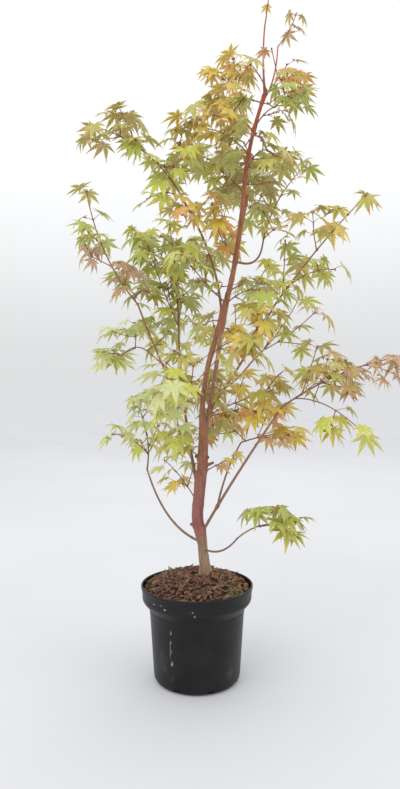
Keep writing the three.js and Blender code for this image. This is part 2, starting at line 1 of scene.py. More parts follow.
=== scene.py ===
"""Potted coral bark maple: the looks of a young Japanese maple in a black nursery pot.

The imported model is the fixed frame: metres, +Z up, the origin at the centre of the pot's flat underside,
+X the plant's right and +Y its back. The tables of limbs, sprays and leaves are in millimetres, as the plant
is measured, and each piece is written in metres. Trunk and boughs get a skin with the bark's relief. The
masses of foliage are grown again by the seeded rule that shapes their solids, and carried on to finer leaves.
"""

import logging
import math
from dataclasses import dataclass, field
from enum import Enum
from functools import cache
from typing import Optional, Sequence

import bpy
import numpy as np
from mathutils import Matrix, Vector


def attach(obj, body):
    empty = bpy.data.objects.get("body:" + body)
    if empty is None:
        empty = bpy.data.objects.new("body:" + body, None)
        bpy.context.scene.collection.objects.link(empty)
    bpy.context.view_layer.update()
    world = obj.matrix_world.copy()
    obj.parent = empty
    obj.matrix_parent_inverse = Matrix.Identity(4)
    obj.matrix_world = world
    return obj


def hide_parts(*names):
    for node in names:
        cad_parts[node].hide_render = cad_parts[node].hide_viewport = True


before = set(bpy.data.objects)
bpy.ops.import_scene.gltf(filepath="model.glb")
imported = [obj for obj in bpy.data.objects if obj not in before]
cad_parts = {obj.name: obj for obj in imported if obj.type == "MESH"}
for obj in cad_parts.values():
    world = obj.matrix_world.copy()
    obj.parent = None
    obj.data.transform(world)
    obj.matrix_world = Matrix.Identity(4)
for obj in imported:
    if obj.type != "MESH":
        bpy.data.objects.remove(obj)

logging.basicConfig(level=logging.INFO, format="%(message)s")
log = logging.getLogger("maple")

MM = 0.001
BODY = "root"
UP = np.array([0.0, 0.0, 1.0])
WORD, WORD_SPAN, WORD_STEP = 0xFFFFFFFF, 4294967296, 0x6D2B79F5

Point = np.ndarray
Triple = tuple[float, float, float]
Colour = tuple[float, ...]
Tree = bpy.types.NodeTree
Node = bpy.types.Node
Material = bpy.types.Material
Output = tuple[Node, str | int]


class Tint(Enum):
    """Autumn tints of the leaves, named as the record's material slots name them."""

    GREEN = "leaf_green"
    LIME = "leaf_lime"
    OLIVE = "leaf_olive"
    PALE = "leaf_pale"
    GOLD = "leaf_gold"
    ORANGE = "leaf_orange"
    CORAL = "leaf_coral"
    RUST = "leaf_rust"
    BROWN = "leaf_brown"


TINT_LETTERS = dict(zip("GLOPYRCUB", Tint))


def dealt(letters: str) -> tuple[Tint, ...]:
    """Tints by letter: green, lime, olive, pale, Y for gold, R for orange, coral, U for rust, brown."""
    return tuple(TINT_LETTERS[letter] for letter in letters)


# ---------------- the plant's tables, in millimetres


@dataclass(frozen=True)
class LimbSpec:
    """A tapering limb: its carrier, the height where it springs, its end, bow and radius at both ends."""

    name: str
    carrier: str
    height: Optional[float]
    to: Triple
    bow: Triple
    radius: tuple[float, float]


@dataclass(frozen=True)
class SpraySpec:
    """A spray that forks off a mass's stem at a share of its length, with its tints from base to tip."""

    at: float
    to: Triple
    bow: Triple
    tints: tuple[Tint, ...]


@dataclass(frozen=True)
class MassSpec:
    """A mass of foliage: its stem, share of shoots, leaf size, seed, share of finer growth and sprays."""

    name: str
    carrier: str
    height: Optional[float]
    to: Triple
    bow: Triple
    shoots: float
    leaf: float
    seed: int
    finer: float
    tints: tuple[Tint, ...]
    sprays: tuple[SpraySpec, ...] = ()


# Stations up the trunk: height, lean to the right, lean to the back, radius.
TRUNK_STATIONS = (
    (186, 15, 0, 12.6), (203, 14, -1, 9.8), (245, 10, -3, 9), (262, 7, -4, 10.5), (295, 1, -4, 10.8),
    (335, 4, -2, 10.8), (380, 9, 0, 10.4), (420, 11, 1, 10), (450, 11, 1, 8.2), (500, 10, -2, 5.6),
    (570, 20, -4, 5.6), (635, 38, -3, 6), (710, 59, 0, 5.4), (775, 72, 0, 5), (865, 84, 0, 4.6),
    (920, 89, 2, 4.4), (995, 102, 3, 4.1), (1075, 125, 0, 3.4),
)
TRUNK_STEPS = 2

# Stubs of pruned shoots on the trunk: height, azimuth in degrees, length from the heart, radius.
STUBS = (
    (401, 200, 15, 3.2), (399, 325, 14, 3), (386, 345, 23, 2.6), (276, 185, 17, 3), (700, 250, 9, 2.2),
)
STUB_RISE = 0.35

# Limbs: name, carrier, height where it springs or none for the carrier's tip, end, bow and two radii.
LIMBS = tuple(LimbSpec(*row) for row in (
    ("second_stem", "trunk", 412, (94, 9, 889), (-3, 13, 0), (4.4, 3)),
    ("low_left", "trunk", 248, (-100, 98, 368), (-8, 0, -24), (2.4, 1.7)),
    ("left_main", "trunk", 335, (-35, 50, 620), (-6, -2, 0), (3.2, 2)),
    ("left_sweep", "left_main", 492, (-105, -40, 680), (-2, 5, -6), (2.2, 1.5)),
    ("left_back", "left_main", 545, (-95, 78, 600), (0, 4, 0), (1.8, 1.4)),
    ("upper_left", "trunk", 660, (-18, -29, 858), (14, 1, 0), (2.4, 1.7)),
    ("right_rise", "second_stem", 488, (135, -60, 675), (0, 0, -6), (2.3, 1.7)),
    ("right_inner", "second_stem", 520, (104, 52, 580), (0, 2, -10), (2.2, 1.6)),
    ("right_sweep", "trunk", 262, (145, -90, 500), (-6, 0, -4), (2.7, 1.8)),
    ("right_fork", "right_sweep", 318, (85, 60, 425), (-4, 0, 4), (1.9, 1.4)),
    ("low_right", "trunk", 236, (68, -98, 278), (2, -2, -12), (1.9, 1.4)),
    ("right_upper", "trunk", 765, (124, 40, 800), (8, -2, -16), (2.3, 1.6)),
    ("leader", "trunk", None, (125, 0, 1200), (-3, 0, 0), (2, 1.3)),
    ("leader_right", "trunk", 1058, (150, 10, 1165), (6, 2, -8), (1.6, 1.2)),
))
LIMB_STEPS = 5

# Masses of foliage: name, carrier, height where the stem springs or none for the carrier's tip, its end and
# bow, share of shoots, leaf size, seed, share of finer growth and tints. Then each spray: the share of the
# stem where it forks off, its end, bow and tints.
MASS_ROWS = (
    ("leader_tip", "leader", None, (134, -2, 1318), (3, 0, 0), 0, 0.55, 136, 0.45, "YR"),
    ("leader_right", "leader_right", None, (187, 32, 1238), (4, 0, 0), 0.4, 0.8, 162, 1.45, "BUB"),
    ("top", "trunk", 1068, (156, -70, 1092), (8, 0, 8), 0.4, 0.85, 229, 1.1, "ORCR",
     (0.1, (92, -66, 1096), (0, 0, 6), "RYO")),
    ("high_right", "trunk", 1012, (152, -88, 1012), (0, 0, 14), 0.3, 0.95, 253, 0.9, "OG"),
    ("high_left", "trunk", 1004, (62, 52, 1156), (-10, 0, -10), 0.55, 0.9, 355, 1.45, "OYYR"),
    ("high_front", "trunk", 962, (18, -92, 972), (0, 0, 10), 0.4, 0.95, 394, 1.4, "OY"),
    ("upper_front", "trunk", 932, (128, -150, 905), (0, 0, 22), 0.4, 1, 439, 1.2, "OGO"),
    ("upper_back", "trunk", 912, (118, 185, 905), (0, 0, 20), 0.35, 1, 496, 1.3, "OG"),
    ("upper_left", "trunk", 890, (20, 118, 985), (0, 0, 8), 0.4, 1, 536, 1.45, "OLL"),
    ("top_left", "upper_left", None, (-172, -92, 975), (10, 8, 25), 0.3, 0.95, 566, 1.35, "LLGOB",
     (0.25, (-18, 34, 975), (-4, 0, 6), "OGL"), (0.05, (-82, -98, 852), (0, 0, 12), "LG")),
    ("left_rise", "left_main", None, (-55, 82, 855), (4, 0, 0), 0.4, 1, 613, 1.2, "GGL",
     (0.12, (-90, -28, 792), (0, 0, -6), "LG")),
    ("far_left", "left_sweep", None, (-185, -100, 862), (-12, -8, -8), 0.3, 0.9, 660, 1.25, "RUGO",
     (0.06, (-92, 34, 712), (0, 0, 8), "GO")),
    ("left_back", "left_back", None, (-158, 128, 590), (0, 0, 16), 0.6, 1, 746, 1.45, "GP",
     (0.05, (-70, 148, 618), (0, 0, 6), "GL")),
    ("low_left", "low_left", None, (-128, 128, 508), (12, 0, 0), 0.5, 1, 803, 0.6, "LP",
     (0.2, (-164, 70, 440), (0, 0, 12), "P"), (0.3, (-58, 138, 486), (0, 0, 6), "LG")),
    ("pale_low", "trunk", 318, (-64, 78, 388), (0, 0, 8), 0.2, 0.85, 818, 0.5, "YP"),
    ("inner_low", "trunk", 402, (-32, -104, 498), (-14, 0, -8), 0.3, 0.95, 878, 1.1, "OLP"),
    ("inner_left", "trunk", 688, (-26, -96, 762), (0, 0, -6), 0.5, 1, 914, 0.8, "GGL"),
    ("orange", "trunk", 772, (26, -88, 846), (-6, 0, -10), 0.6, 1, 975, 1.45, "RRYO"),
    ("right_top", "right_rise", None, (276, -130, 846), (0, 0, 8), 0.3, 0.95, 1058, 0.6, "LOYO",
     (0.16, (252, -8, 748), (0, 0, 10), "LG"), (0.1, (160, -22, 796), (0, 0, 0), "OG")),
    ("right_mid", "right_inner", None, (206, 116, 712), (6, 0, -4), 0.45, 1, 1075, 0.35, "OGL",
     (0.2, (220, 18, 672), (0, 0, -6), "GOB")),
    ("far_right", "right_sweep", None, (352, -130, 586), (0, 0, 16), 0.25, 0.95, 1149, 0.8, "OBUU",
     (0.1, (258, -172, 466), (0, 0, 14), "YOL"), (0.16, (212, -52, 604), (0, 0, 0), "GLO")),
    ("centre_right", "trunk", 476, (132, -64, 528), (0, -6, 4), 0.5, 1, 1194, 1.45, "OYO"),
    ("orange_low", "right_fork", None, (190, 52, 446), (0, 0, 4), 0.5, 1, 1233, 1.45, "RRYY",
     (0.08, (52, 122, 452), (0, 0, 6), "YRO")),
    ("low_right", "low_right", None, (146, -132, 306), (0, 0, 12), 0.7, 1, 1255, 0.75, "OGO"),
    ("front_right", "trunk", 684, (124, -146, 684), (0, 0, 16), 0.5, 1, 1321, 0.5, "OG"),
    ("back_right", "second_stem", 712, (166, 170, 744), (0, 0, 14), 0.4, 1, 1359, 0.45, "GL"),
    ("front_low", "trunk", 592, (96, -176, 602), (0, 0, 14), 0.35, 1, 1434, 0.9, "OYO"),
    ("right_upper", "right_upper", None, (216, 88, 972), (-14, 0, 6), 0.35, 0.95, 1478, 0.5, "OG",
     (0.08, (160, -32, 822), (0, 0, 6), "OY")),
    ("back_mid", "second_stem", 652, (-5, 196, 636), (0, 0, 18), 0.4, 1, 1505, 0.7, "GL"),
    ("back_low", "second_stem", 470, (66, 190, 452), (0, 0, 16), 0.3, 1, 1596, 0.95, "OL"),
    ("front_mid", "trunk", 512, (-46, -172, 548), (0, 0, 8), 0.3, 1, 1623, 1.1, "OLP"),
    ("back_high", "second_stem", 812, (40, 178, 806), (0, 0, 18), 0.4, 1, 1667, 0.9, "YO"),
    ("sprout", "trunk", 372, (66, -34, 404), (0, 0, 4), 0, 0.75, 1728, 0.45, "RY"),
)
MASSES = tuple(
    MassSpec(f"leaves_{name}", *sizes, dealt(tints),
             tuple(SpraySpec(*spray, dealt(own)) for *spray, own in sprays))
    for (name, *sizes), tints, sprays in ((row[:9], row[9], row[10:]) for row in MASS_ROWS))

# Sizes of the growth rule.
TWIG_STEM, TWIG_SPRAY, TWIG_SHOOT, TWIG_TIP = 1.8, 1.5, 1.3, 1.1
NODE_STEP, NODE_SINK, NODE_OUTWARD, NODE_AHEAD = 40.0, 4.0, 0.8, 0.55
SHOOT_LENGTH, SHOOT_RISE, SHOOT_SPREAD, SHOOT_TWIST = (26.0, 48.0), 0.25, 0.45, 50.0
STALK_LENGTH, STALK_RISE, STALK_WANDER, STALK_WANDER_STEP = (12.0, 24.0), 0.35, 0.5, 0.25
LEAF_LENGTH, LEAF_SHARE, LEAF_DROOP, LEAF_ROLL, LEAF_TRIES = 41.0, (0.8, 1.12), (5.0, 62.0), 32.0, 8
LEVEL_LEAST, STALK_LEAN = 0.05, (0.5, 0.5, 0.3)
BUD_SHARE = 0.3

# Where leaves and shoots are sampled for the clearance tests.
SAMPLE_SHARES, STALK_SAMPLE = (0.4, 0.7, 0.97), 0.6
SAMPLED_LOBES = ((-98, 0.62), (-44, 0.9), (0, 1.0), (44, 0.9), (98, 0.62))
SAMPLES = 2 + len(SAMPLED_LOBES) * len(SAMPLE_SHARES)
SHOOT_SAMPLES, FINE_SAMPLES = (1, 0.7, 0.4), (1, 0.75, 0.5, 0.3)
LOBE_DROOP = 0.2
NEARBY = 2.2 * LEAF_LENGTH


@dataclass(frozen=True)
class Clearance:
    """How far a leaf or twig keeps from limbs, other twigs and other leaves."""

    limb: float
    twig: float
    leaf: float


FIRST_GROWTH = Clearance(4, 3.2, 8.5)
FINE_GROWTH = Clearance(2.0, 1.4, 3.6)
TRUNK_VIEW = 1.1

# Sizes of the finer growth, and how a leaf's place and chance move it along its spray's tints.
FILL_SEED, FILL_SIZE, FINE_SHOOTS_FROM = 7000, (0.76, 1.04), 0.45
FINE_REACH, FINE_LENGTH, FINE_LEAN, FINE_BOW = 0.95, (24.0, 48.0), 0.5, (-2, 3)
FINE_TWIG, FINE_TIP = 1.1, 0.8
TINT_BY_PLACE, TINT_BY_CHANCE, TINT_START = 0.75, 0.35, 0.05


# ---------------- small helpers


class SeededRandom:
    """The same stream of shares between 0 and 1 for the same seed."""

    def __init__(self, seed: int) -> None:
        """Starts the stream at a seed."""
        self.state = seed

    def share(self) -> float:
        """The next share of the stream.

        Returns:
            A number from 0 up to 1.
        """
        self.state = (self.state + WORD_STEP) & WORD
        bits = ((self.state ^ (self.state >> 15)) * (1 | self.state)) & WORD
        bits = ((bits + (((bits ^ (bits >> 7)) * (61 | bits)) & WORD)) & WORD) ^ bits
        return (bits ^ (bits >> 14)) / WORD_SPAN

    def between(self, low: float, high: float) -> float:
        """A number between two others."""
        return low + (high - low) * self.share()


def unit(vector: Point) -> Point:
    """The vector at a length of one."""
    return vector / np.linalg.norm(vector)


def turned(vector: Point, axis: Point, angle: float) -> Point:
    """A vector turned about a unit axis by an angle in radians."""
    cos, sin = math.cos(angle), math.sin(angle)
    return vector * cos + np.cross(axis, vector) * sin + axis * (axis @ vector) * (1 - cos)


def stretch_distances(points: Point, starts: Point, ends: Point) -> Point:
    """Distances from points to straight stretches.

    Args:
        points: The points.
        starts: Where the stretches start.
        ends: Where they end.

    Returns:
        A table of points by stretches.
    """
    lines = ends - starts
    away = points[:, None, :] - starts[None, :, :]
    shares = np.clip((away * lines).sum(2) / np.maximum((lines * lines).sum(1), 1e-12), 0, 1)
    return np.linalg.norm(away - shares[:, :, None] * lines, axis=2)


class Bow:
    """A curve between two points whose middle is pushed off the straight line."""

    def __init__(self, start: Point, end: Point, bow: Sequence[float]) -> None:
        """Lays the curve from start to end with its bow."""
        self.start, self.end = np.asarray(start, float), np.asarray(end, float)
        self.control = (self.start + self.end) / 2 + 2 * np.asarray(bow, float)

    def point(self, share: float) -> Point:
        """The point at a share of the curve."""
        rest = 1 - share
        return rest * rest * self.start + 2 * rest * share * self.control + share * share * self.end

    def points(self, steps: int) -> Point:
        """Points at even shares from start to end."""
        return np.array([self.point(i / steps) for i in range(steps + 1)])

    def length(self) -> float:
        """The curve's length, over two hundred chords."""
        return float(np.linalg.norm(np.diff(self.points(200), axis=0), axis=1).sum())


def trunk_curve(steps: int) -> Point:
    """Points at even shares up the trunk's heart, on one smooth curve through its stations.

    Args:
        steps: How many parts it is divided into.

    Returns:
        The points, from the foot up.
    """
    hearts = np.array([(x, y, z) for z, x, y, _ in TRUNK_STATIONS], float)
    before, after = 2 * hearts[0] - hearts[1], 2 * hearts[-1] - hearts[-2]
    padded = np.vstack([before, hearts, after])
    spans = len(hearts) - 1
    points = []
    for i in range(steps + 1):
        place = i * spans / steps
        span = min(int(place), spans - 1)
        t = place - span
        p0, p1, p2, p3 = padded[span:span + 4]
        t0, t1 = (p2 - p0) / 2, (p3 - p1) / 2
        square, cube = 3 * p2 - 3 * p1 - 2 * t0 - t1, 2 * p1 - 2 * p2 + t0 + t1
        points.append(p1 + t0 * t + square * t**2 + cube * t**3)
    return np.array(points)


# ---------------- growth


@dataclass
class Limb:
    """A grown limb: its path as the solids have it, the radius along it and its smooth curve."""

    name: str
    points: Point
    radii: Point
    curve: Optional[Bow]
    carrier: Optional["Limb"] = None

    def station(self, height: Optional[float]) -> Point:
        """The limb's heart at a height, or at its tip.

        Args:
            height: The height, or none for the tip.

        Returns:
            The point.
        """
        if height is None:
            return self.points[-1]
        i = int(np.argmax(self.points[:, 2] >= height))
        share = (height - self.points[i - 1, 2]) / (self.points[i, 2] - self.points[i - 1, 2])
        return self.points[i - 1] + (self.points[i] - self.points[i - 1]) * share


def grow_limbs() -> dict[str, Limb]:
    """The trunk and the boughs, each springing from the heart of its carrier.

    Returns:
        The limbs by name, the trunk first.
    """
    steps = (len(TRUNK_STATIONS) - 1) * TRUNK_STEPS
    radii = np.interp(np.arange(steps + 1) / TRUNK_STEPS, np.arange(len(TRUNK_STATIONS)),
                      [station[3] for station in TRUNK_STATIONS])
    limbs = {"trunk": Limb("trunk", trunk_curve(steps), radii, None)}
    for spec in LIMBS:
        carrier = limbs[spec.carrier]
        curve = Bow(carrier.station(spec.height), spec.to, spec.bow)
        radii = np.linspace(*spec.radius, LIMB_STEPS + 1)
        limbs[spec.name] = Limb(spec.name, curve.points(LIMB_STEPS), radii, curve, carrier)
    return limbs


@dataclass
class Leaf:
    """A leaf: the node that its stalk leaves, its base, its axes, its length and how it is coloured."""

    node: Point
    base: Point
    midrib: Point
    across: Point
    normal: Point
    length: float
    tint: Tint = Tint.GREEN
    place: float = 0.0
    spray: int = 0

    def samples(self) -> Point:
        """Points that stand for the leaf and its stalk in the clearance tests.

        Returns:
            The points.
        """
        points = [self.base, self.node + (self.base - self.node) * STALK_SAMPLE]
        for angle, reach in SAMPLED_LOBES:
            turn = math.radians(angle)
            tip = (self.midrib * math.cos(turn) + self.across * math.sin(turn)) * self.length * reach
            tip = tip - self.normal * self.length * LOBE_DROOP * reach * reach
            points.extend(self.base + tip * share for share in SAMPLE_SHARES)
        return np.array(points)


def leaf_at(node: Point, base: Point, heading: Point, droop: float, roll: float, length: float) -> Leaf:
    """A leaf that hangs from its base at a droop below level, rolled about its midrib.

    Args:
        node: Where its stalk springs.
        base: Where its blade starts.
        heading: Where its stalk points.
        droop: How far its midrib falls below level, in radians.
        roll: How far it turns about its midrib.
        length: The length of its midrib.

    Returns:
        The leaf.
    """
    flat = np.array([heading[0], heading[1], 0.0])
    if np.linalg.norm(flat) < LEVEL_LEAST:
        flat = np.array([1.0, 0.0, 0.0])
    midrib = unit(flat) * math.cos(droop) - UP * math.sin(droop)
    across = turned(unit(np.cross(midrib, UP)), midrib, roll)
    return Leaf(node, base, midrib, across, np.cross(across, midrib), length)


@dataclass
class Twig:
    """A twig: its curve, its radius at both ends and the index of its first straight stretch in the crown."""

    curve: Bow
    rings: Point
    radius: tuple[float, float]
    first: int


@dataclass
class Bud:
    """A bud: its node and heading, the stretch that bears it, its place along its spray, and the spray."""

    node: Point
    heading: Point
    stretch: int
    place: float
    spray: int


@dataclass
class Mass:
    """A mass of foliage as it grows."""

    spec: MassSpec
    random: SeededRandom
    sprays: list[Twig] = field(default_factory=list)
    shoots: list[Twig] = field(default_factory=list)
    leaves: list[Leaf] = field(default_factory=list)
    bare: list[Bud] = field(default_factory=list)

    def tints_of(self, spray: int) -> tuple[Tint, ...]:
        """The tints of one of its sprays, from base to tip, the stem being the first."""
        return self.spec.sprays[spray - 1].tints if spray else self.spec.tints


class Crown:
    """All that has grown so far, kept as tables for the clearance tests."""

    MOST = 4000

    def __init__(self, limbs: dict[str, Limb]) -> None:
        """Starts a crown round its limbs.

        Args:
            limbs: The limbs by name.
        """
        self.limbs = limbs
        every = list(limbs.values())
        self.limb_starts = np.vstack([limb.points[:-1] for limb in every])
        self.limb_ends = np.vstack([limb.points[1:] for limb in every])
        self.limb_radii = np.concatenate([np.maximum(limb.radii[:-1], limb.radii[1:]) for limb in every])
        self.starts, self.ends, self.twigs = np.zeros((self.MOST, 3)), np.zeros((self.MOST, 3)), 0
        self.bases, self.samples, self.leaves = np.zeros((self.MOST, 3)), np.zeros((self.MOST, SAMPLES, 3)), 0
        self.low = self.high = np.zeros(3)

    def add_stretch(self, start: Point, end: Point) -> int:
        """Adds a straight stretch of twig or stalk.

        Args:
            start: Its start.
            end: Its end.

        Returns:
            Its index.
        """
        self.starts[self.twigs], self.ends[self.twigs] = start, end
        self.twigs += 1
        return self.twigs - 1

    def add_leaf(self, leaf: Leaf) -> None:
        """Adds a leaf and its stalk.

        Args:
            leaf: The leaf.
        """
        self.bases[self.leaves], self.samples[self.leaves] = leaf.base, leaf.samples()
        self.leaves += 1
        self.add_stretch(leaf.node, leaf.base)

    def hides_trunk(self, points: Point) -> bool:
        """Whether any of some points lies in front of the trunk.

        Args:
            points: The points.

        Returns:
            True if one does.
        """
        trunk = self.limbs["trunk"]
        x, y, half = (np.interp(points[:, 2], trunk.points[:, 2], row)
                      for row in (trunk.points[:, 0], trunk.points[:, 1], trunk.radii * TRUNK_VIEW))
        return bool(((np.abs(points[:, 0] - x) < half) & (points[:, 1] < y)).any())

    def settle_reach(self) -> None:
        """Takes the leaves that have grown so far as the crown's full reach."""
        there = self.samples[:self.leaves].reshape(-1, 3)
        self.low, self.high = there.min(axis=0), there.max(axis=0)

    def is_beyond_reach(self, points: Point) -> bool:
        """Whether any of some points lies beyond the crown's reach."""
        return bool(((points < self.low) | (points > self.high)).any())

    def is_clear(self, points: Point, own: int, room: Clearance) -> bool:
        """Whether points keep clear of the limbs, of other twigs and of other leaves.

        Args:
            points: The points to place.
            own: The index of the stretch that carries them, which they may touch.
            room: The distances to keep.
        """
        away = stretch_distances(points, self.limb_starts, self.limb_ends)
        if (away < self.limb_radii + room.limb).any():
            return False
        away = stretch_distances(points, self.starts[:self.twigs], self.ends[:self.twigs])
        away[:, own] = np.inf
        if (away < room.twig).any():
            return False
        close = np.linalg.norm(self.bases[:self.leaves] - points[0], axis=1) < NEARBY
        if not close.any():
            return True
        there = self.samples[:self.leaves][close].reshape(-1, 3)
        return not (np.linalg.norm(points[:, None] - there[None], axis=2) < room.leaf).any()


class Gardener:
    """Grows the masses of foliage: first as their solids have them, then finer leaves on the bare buds."""

    def __init__(self, limbs: dict[str, Limb]) -> None:
        """Grows the whole crown round the limbs.

        Args:
            limbs: The limbs by name.
        """
        self.crown = Crown(limbs)
        self.masses = [self.lay_out(spec) for spec in MASSES]
        for mass in self.masses:
            for spray in range(len(mass.sprays)):
                self.clothe(mass, spray)
        self.solid_leaves = sum(len(mass.leaves) for mass in self.masses)
        self.crown.settle_reach()
        for mass in self.masses:
            self.fill(mass)

    def lay_twig(self, curve: Bow, radius: float, steps: int, tip: float = TWIG_TIP) -> Twig:
        """Lays a twig along its curve, with a ring at each node.

        Args:
            curve: Its curve.
            radius: Its radius at the base.
            steps: How many stretches it has.
            tip: Its radius at the tip.

        Returns:
            The twig.
        """
        rings = curve.points(steps)
        stretches = [self.crown.add_stretch(*ends) for ends in zip(rings, rings[1:])]
        return Twig(curve, rings, (radius, tip), stretches[0])

    def lay_out(self, spec: MassSpec) -> Mass:
        """Lays the stem and sprays of a mass, before any leaf grows.

        Args:
            spec: The sizes of the mass.

        Returns:
            The mass.
        """
        mass = Mass(spec, SeededRandom(spec.seed))
        stem = Bow(self.crown.limbs[spec.carrier].station(spec.height), spec.to, spec.bow)
        curves = [(stem, TWIG_STEM)]
        curves += [(Bow(stem.point(spray.at), spray.to, spray.bow), TWIG_SPRAY) for spray in spec.sprays]
        for curve, radius in curves:
            nodes = max(2, int(curve.length() / NODE_STEP + 0.5))
            mass.sprays.append(self.lay_twig(curve, radius, nodes))
        return mass

    def clothe(self, mass: Mass, number: int) -> None:
        """Sets pairs of leaves or shoots at a spray's nodes, each pair a quarter turn from the last.

        Args:
            mass: The mass.
            number: The number of its spray, 0 for its stem.
        """
        turn = math.radians(mass.random.between(0, 90))
        spray = mass.sprays[number]
        last = len(spray.rings) - 2
        for i in range(last + 1):
            along = unit(spray.rings[i + 1] - spray.rings[i])
            node = spray.rings[i + 1] - along * NODE_SINK
            across = unit(np.cross(along, UP))
            turn += math.pi / 2
            place = (i + 1) / (last + 1)
            for side in (0, math.pi):
                outward = turned(across, along, turn + side)
                heading = unit(outward * NODE_OUTWARD + along * NODE_AHEAD)
                bud = Bud(node, heading, spray.first + i, place, number)
                if i < last and mass.random.share() < mass.spec.shoots:
                    self.grow_shoot(mass, bud)
                else:
                    self.grow_leaf(mass, bud, 1.0 if i == last else BUD_SHARE)

    def grow_shoot(self, mass: Mass, bud: Bud) -> None:
        """Grows a side shoot with a pair of leaves and one at its tip.

        Args:
            mass: The mass.
            bud: The bud that it springs from.
        """
        aim = unit(bud.heading + UP * SHOOT_RISE)
        tip = bud.node + aim * mass.random.between(*SHOOT_LENGTH)
        samples = np.array([bud.node + (tip - bud.node) * share for share in SHOOT_SAMPLES])
        if not self.crown.is_clear(samples, bud.stretch, FIRST_GROWTH):
            return
        shoot = self.lay_twig(Bow(bud.node, tip, (0, 0, 0)), TWIG_SHOOT, 1)
        mass.shoots.append(shoot)
        node = tip - aim * NODE_SINK
        twist = math.radians(mass.random.between(-SHOOT_TWIST, SHOOT_TWIST))
        across = turned(unit(np.cross(aim, UP)), aim, twist)
        for heading in (aim * SHOOT_SPREAD - across, aim * SHOOT_SPREAD + across, aim):
            self.grow_leaf(mass, Bud(node, unit(heading), shoot.first, bud.place, bud.spray), BUD_SHARE)

    def grow_leaf(self, mass: Mass, bud: Bud, share: float) -> None:
        """Takes a leaf at a share of the buds, and keeps the rest as bare buds for the finer growth."""
        if mass.random.share() > share or not self.hang(mass, bud, mass.random, FIRST_GROWTH, 1.0):
            mass.bare.append(bud)

    def hang(self, mass: Mass, bud: Bud, random: SeededRandom, room: Clearance, size: float) -> bool:
        """Tries a few hangs of one leaf at a bud, and keeps the first that is clear.

        Args:
            mass: The mass that the leaf belongs to.
            bud: The bud that it springs from.
            random: The stream that its hang is drawn from.
            room: The distances that it keeps.
            size: Its size beside the mass's usual leaf.

        Returns:
            Whether a leaf was kept.
        """
        for attempt in range(LEAF_TRIES):
            lean = np.array([random.share() - middle for middle in STALK_LEAN])
            stalk = unit(bud.heading + lean * (STALK_WANDER + STALK_WANDER_STEP * attempt))
            stalk[2] = min(stalk[2], STALK_RISE)
            stalk = unit(stalk)
            base = bud.node + stalk * random.between(*STALK_LENGTH) * mass.spec.leaf
            droop = math.radians(random.between(*LEAF_DROOP))
            roll = math.radians(random.between(-LEAF_ROLL, LEAF_ROLL))
            length = LEAF_LENGTH * mass.spec.leaf * size * random.between(*LEAF_SHARE)
            leaf = leaf_at(bud.node, base, stalk, droop, roll, length)
            samples = leaf.samples()
            crown = self.crown
            if room is FINE_GROWTH and (crown.hides_trunk(samples) or crown.is_beyond_reach(samples)):
                continue
            if crown.is_clear(samples, bud.stretch, room):
                leaf.place, leaf.spray = bud.place, bud.spray
                mass.leaves.append(leaf)
                crown.add_leaf(leaf)
                return True
        return False

    def grow_fine_shoot(self, mass: Mass, bud: Bud, random: SeededRandom) -> bool:
        """Grows a fine shoot with two pairs of leaves and one at its tip, if there is room for it.

        Args:
            mass: The mass that the shoot belongs to.
            bud: The bud that it springs from.
            random: The stream that its shape is drawn from.

        Returns:
            Whether the shoot was grown.
        """
        lean = np.array([random.share(), random.share(), random.share()]) - 0.5
        aim = unit(bud.heading + UP * SHOOT_RISE + lean * FINE_LEAN)
        tip = bud.node + aim * random.between(*FINE_LENGTH)
        samples = np.array([bud.node + (tip - bud.node) * share for share in FINE_SAMPLES])
        if bud.place > FINE_REACH or not self.crown.is_clear(samples, bud.stretch, FINE_GROWTH):
            return False
        shoot = self.lay_twig(Bow(bud.node, tip, UP * random.between(*FINE_BOW)), FINE_TWIG, 2, FINE_TIP)
        mass.shoots.append(shoot)
        across = turned(unit(np.cross(aim, UP)), aim, random.between(0, math.pi))
        for i in (1, 2):
            headings = [aim * SHOOT_SPREAD - across, aim * SHOOT_SPREAD + across] + [aim] * (i - 1)
            for heading in headings:
                node = Bud(shoot.rings[i] - aim, unit(heading), shoot.first + i - 1, bud.place, bud.spray)
                self.hang(mass, node, random, FINE_GROWTH, random.between(*FILL_SIZE))
            across = np.cross(aim, across)
        return True

    def fill(self, mass: Mass) -> None:
        """Grows finer shoots and leaves on the buds that the solids leave bare, and deals out the tints.

        Args:
            mass: The mass.
        """
        random = SeededRandom(mass.spec.seed + FILL_SEED)
        for bud in mass.bare:
            shoots = mass.spec.finer - FINE_SHOOTS_FROM
            if random.share() < shoots and self.grow_fine_shoot(mass, bud, random):
                continue
            if random.share() < mass.spec.finer:
                self.hang(mass, bud, random, FINE_GROWTH, random.between(*FILL_SIZE))
        for leaf in mass.leaves:
            tints = mass.tints_of(leaf.spray)
            warmth = TINT_BY_PLACE * leaf.place + TINT_BY_CHANCE * random.share() - TINT_START
            leaf.tint = tints[min(len(tints) - 1, max(0, int(warmth * len(tints))))]


# ---------------- meshes


SMOOTH = 180.0


def placed(name: str, data: bpy.types.ID) -> bpy.types.Object:
    """Puts a new object in the scene.

    Args:
        name: Its name.
        data: Its mesh, light or camera.

    Returns:
        The object.
    """
    made = bpy.data.objects.new(name, data)
    bpy.context.scene.collection.objects.link(made)
    return made


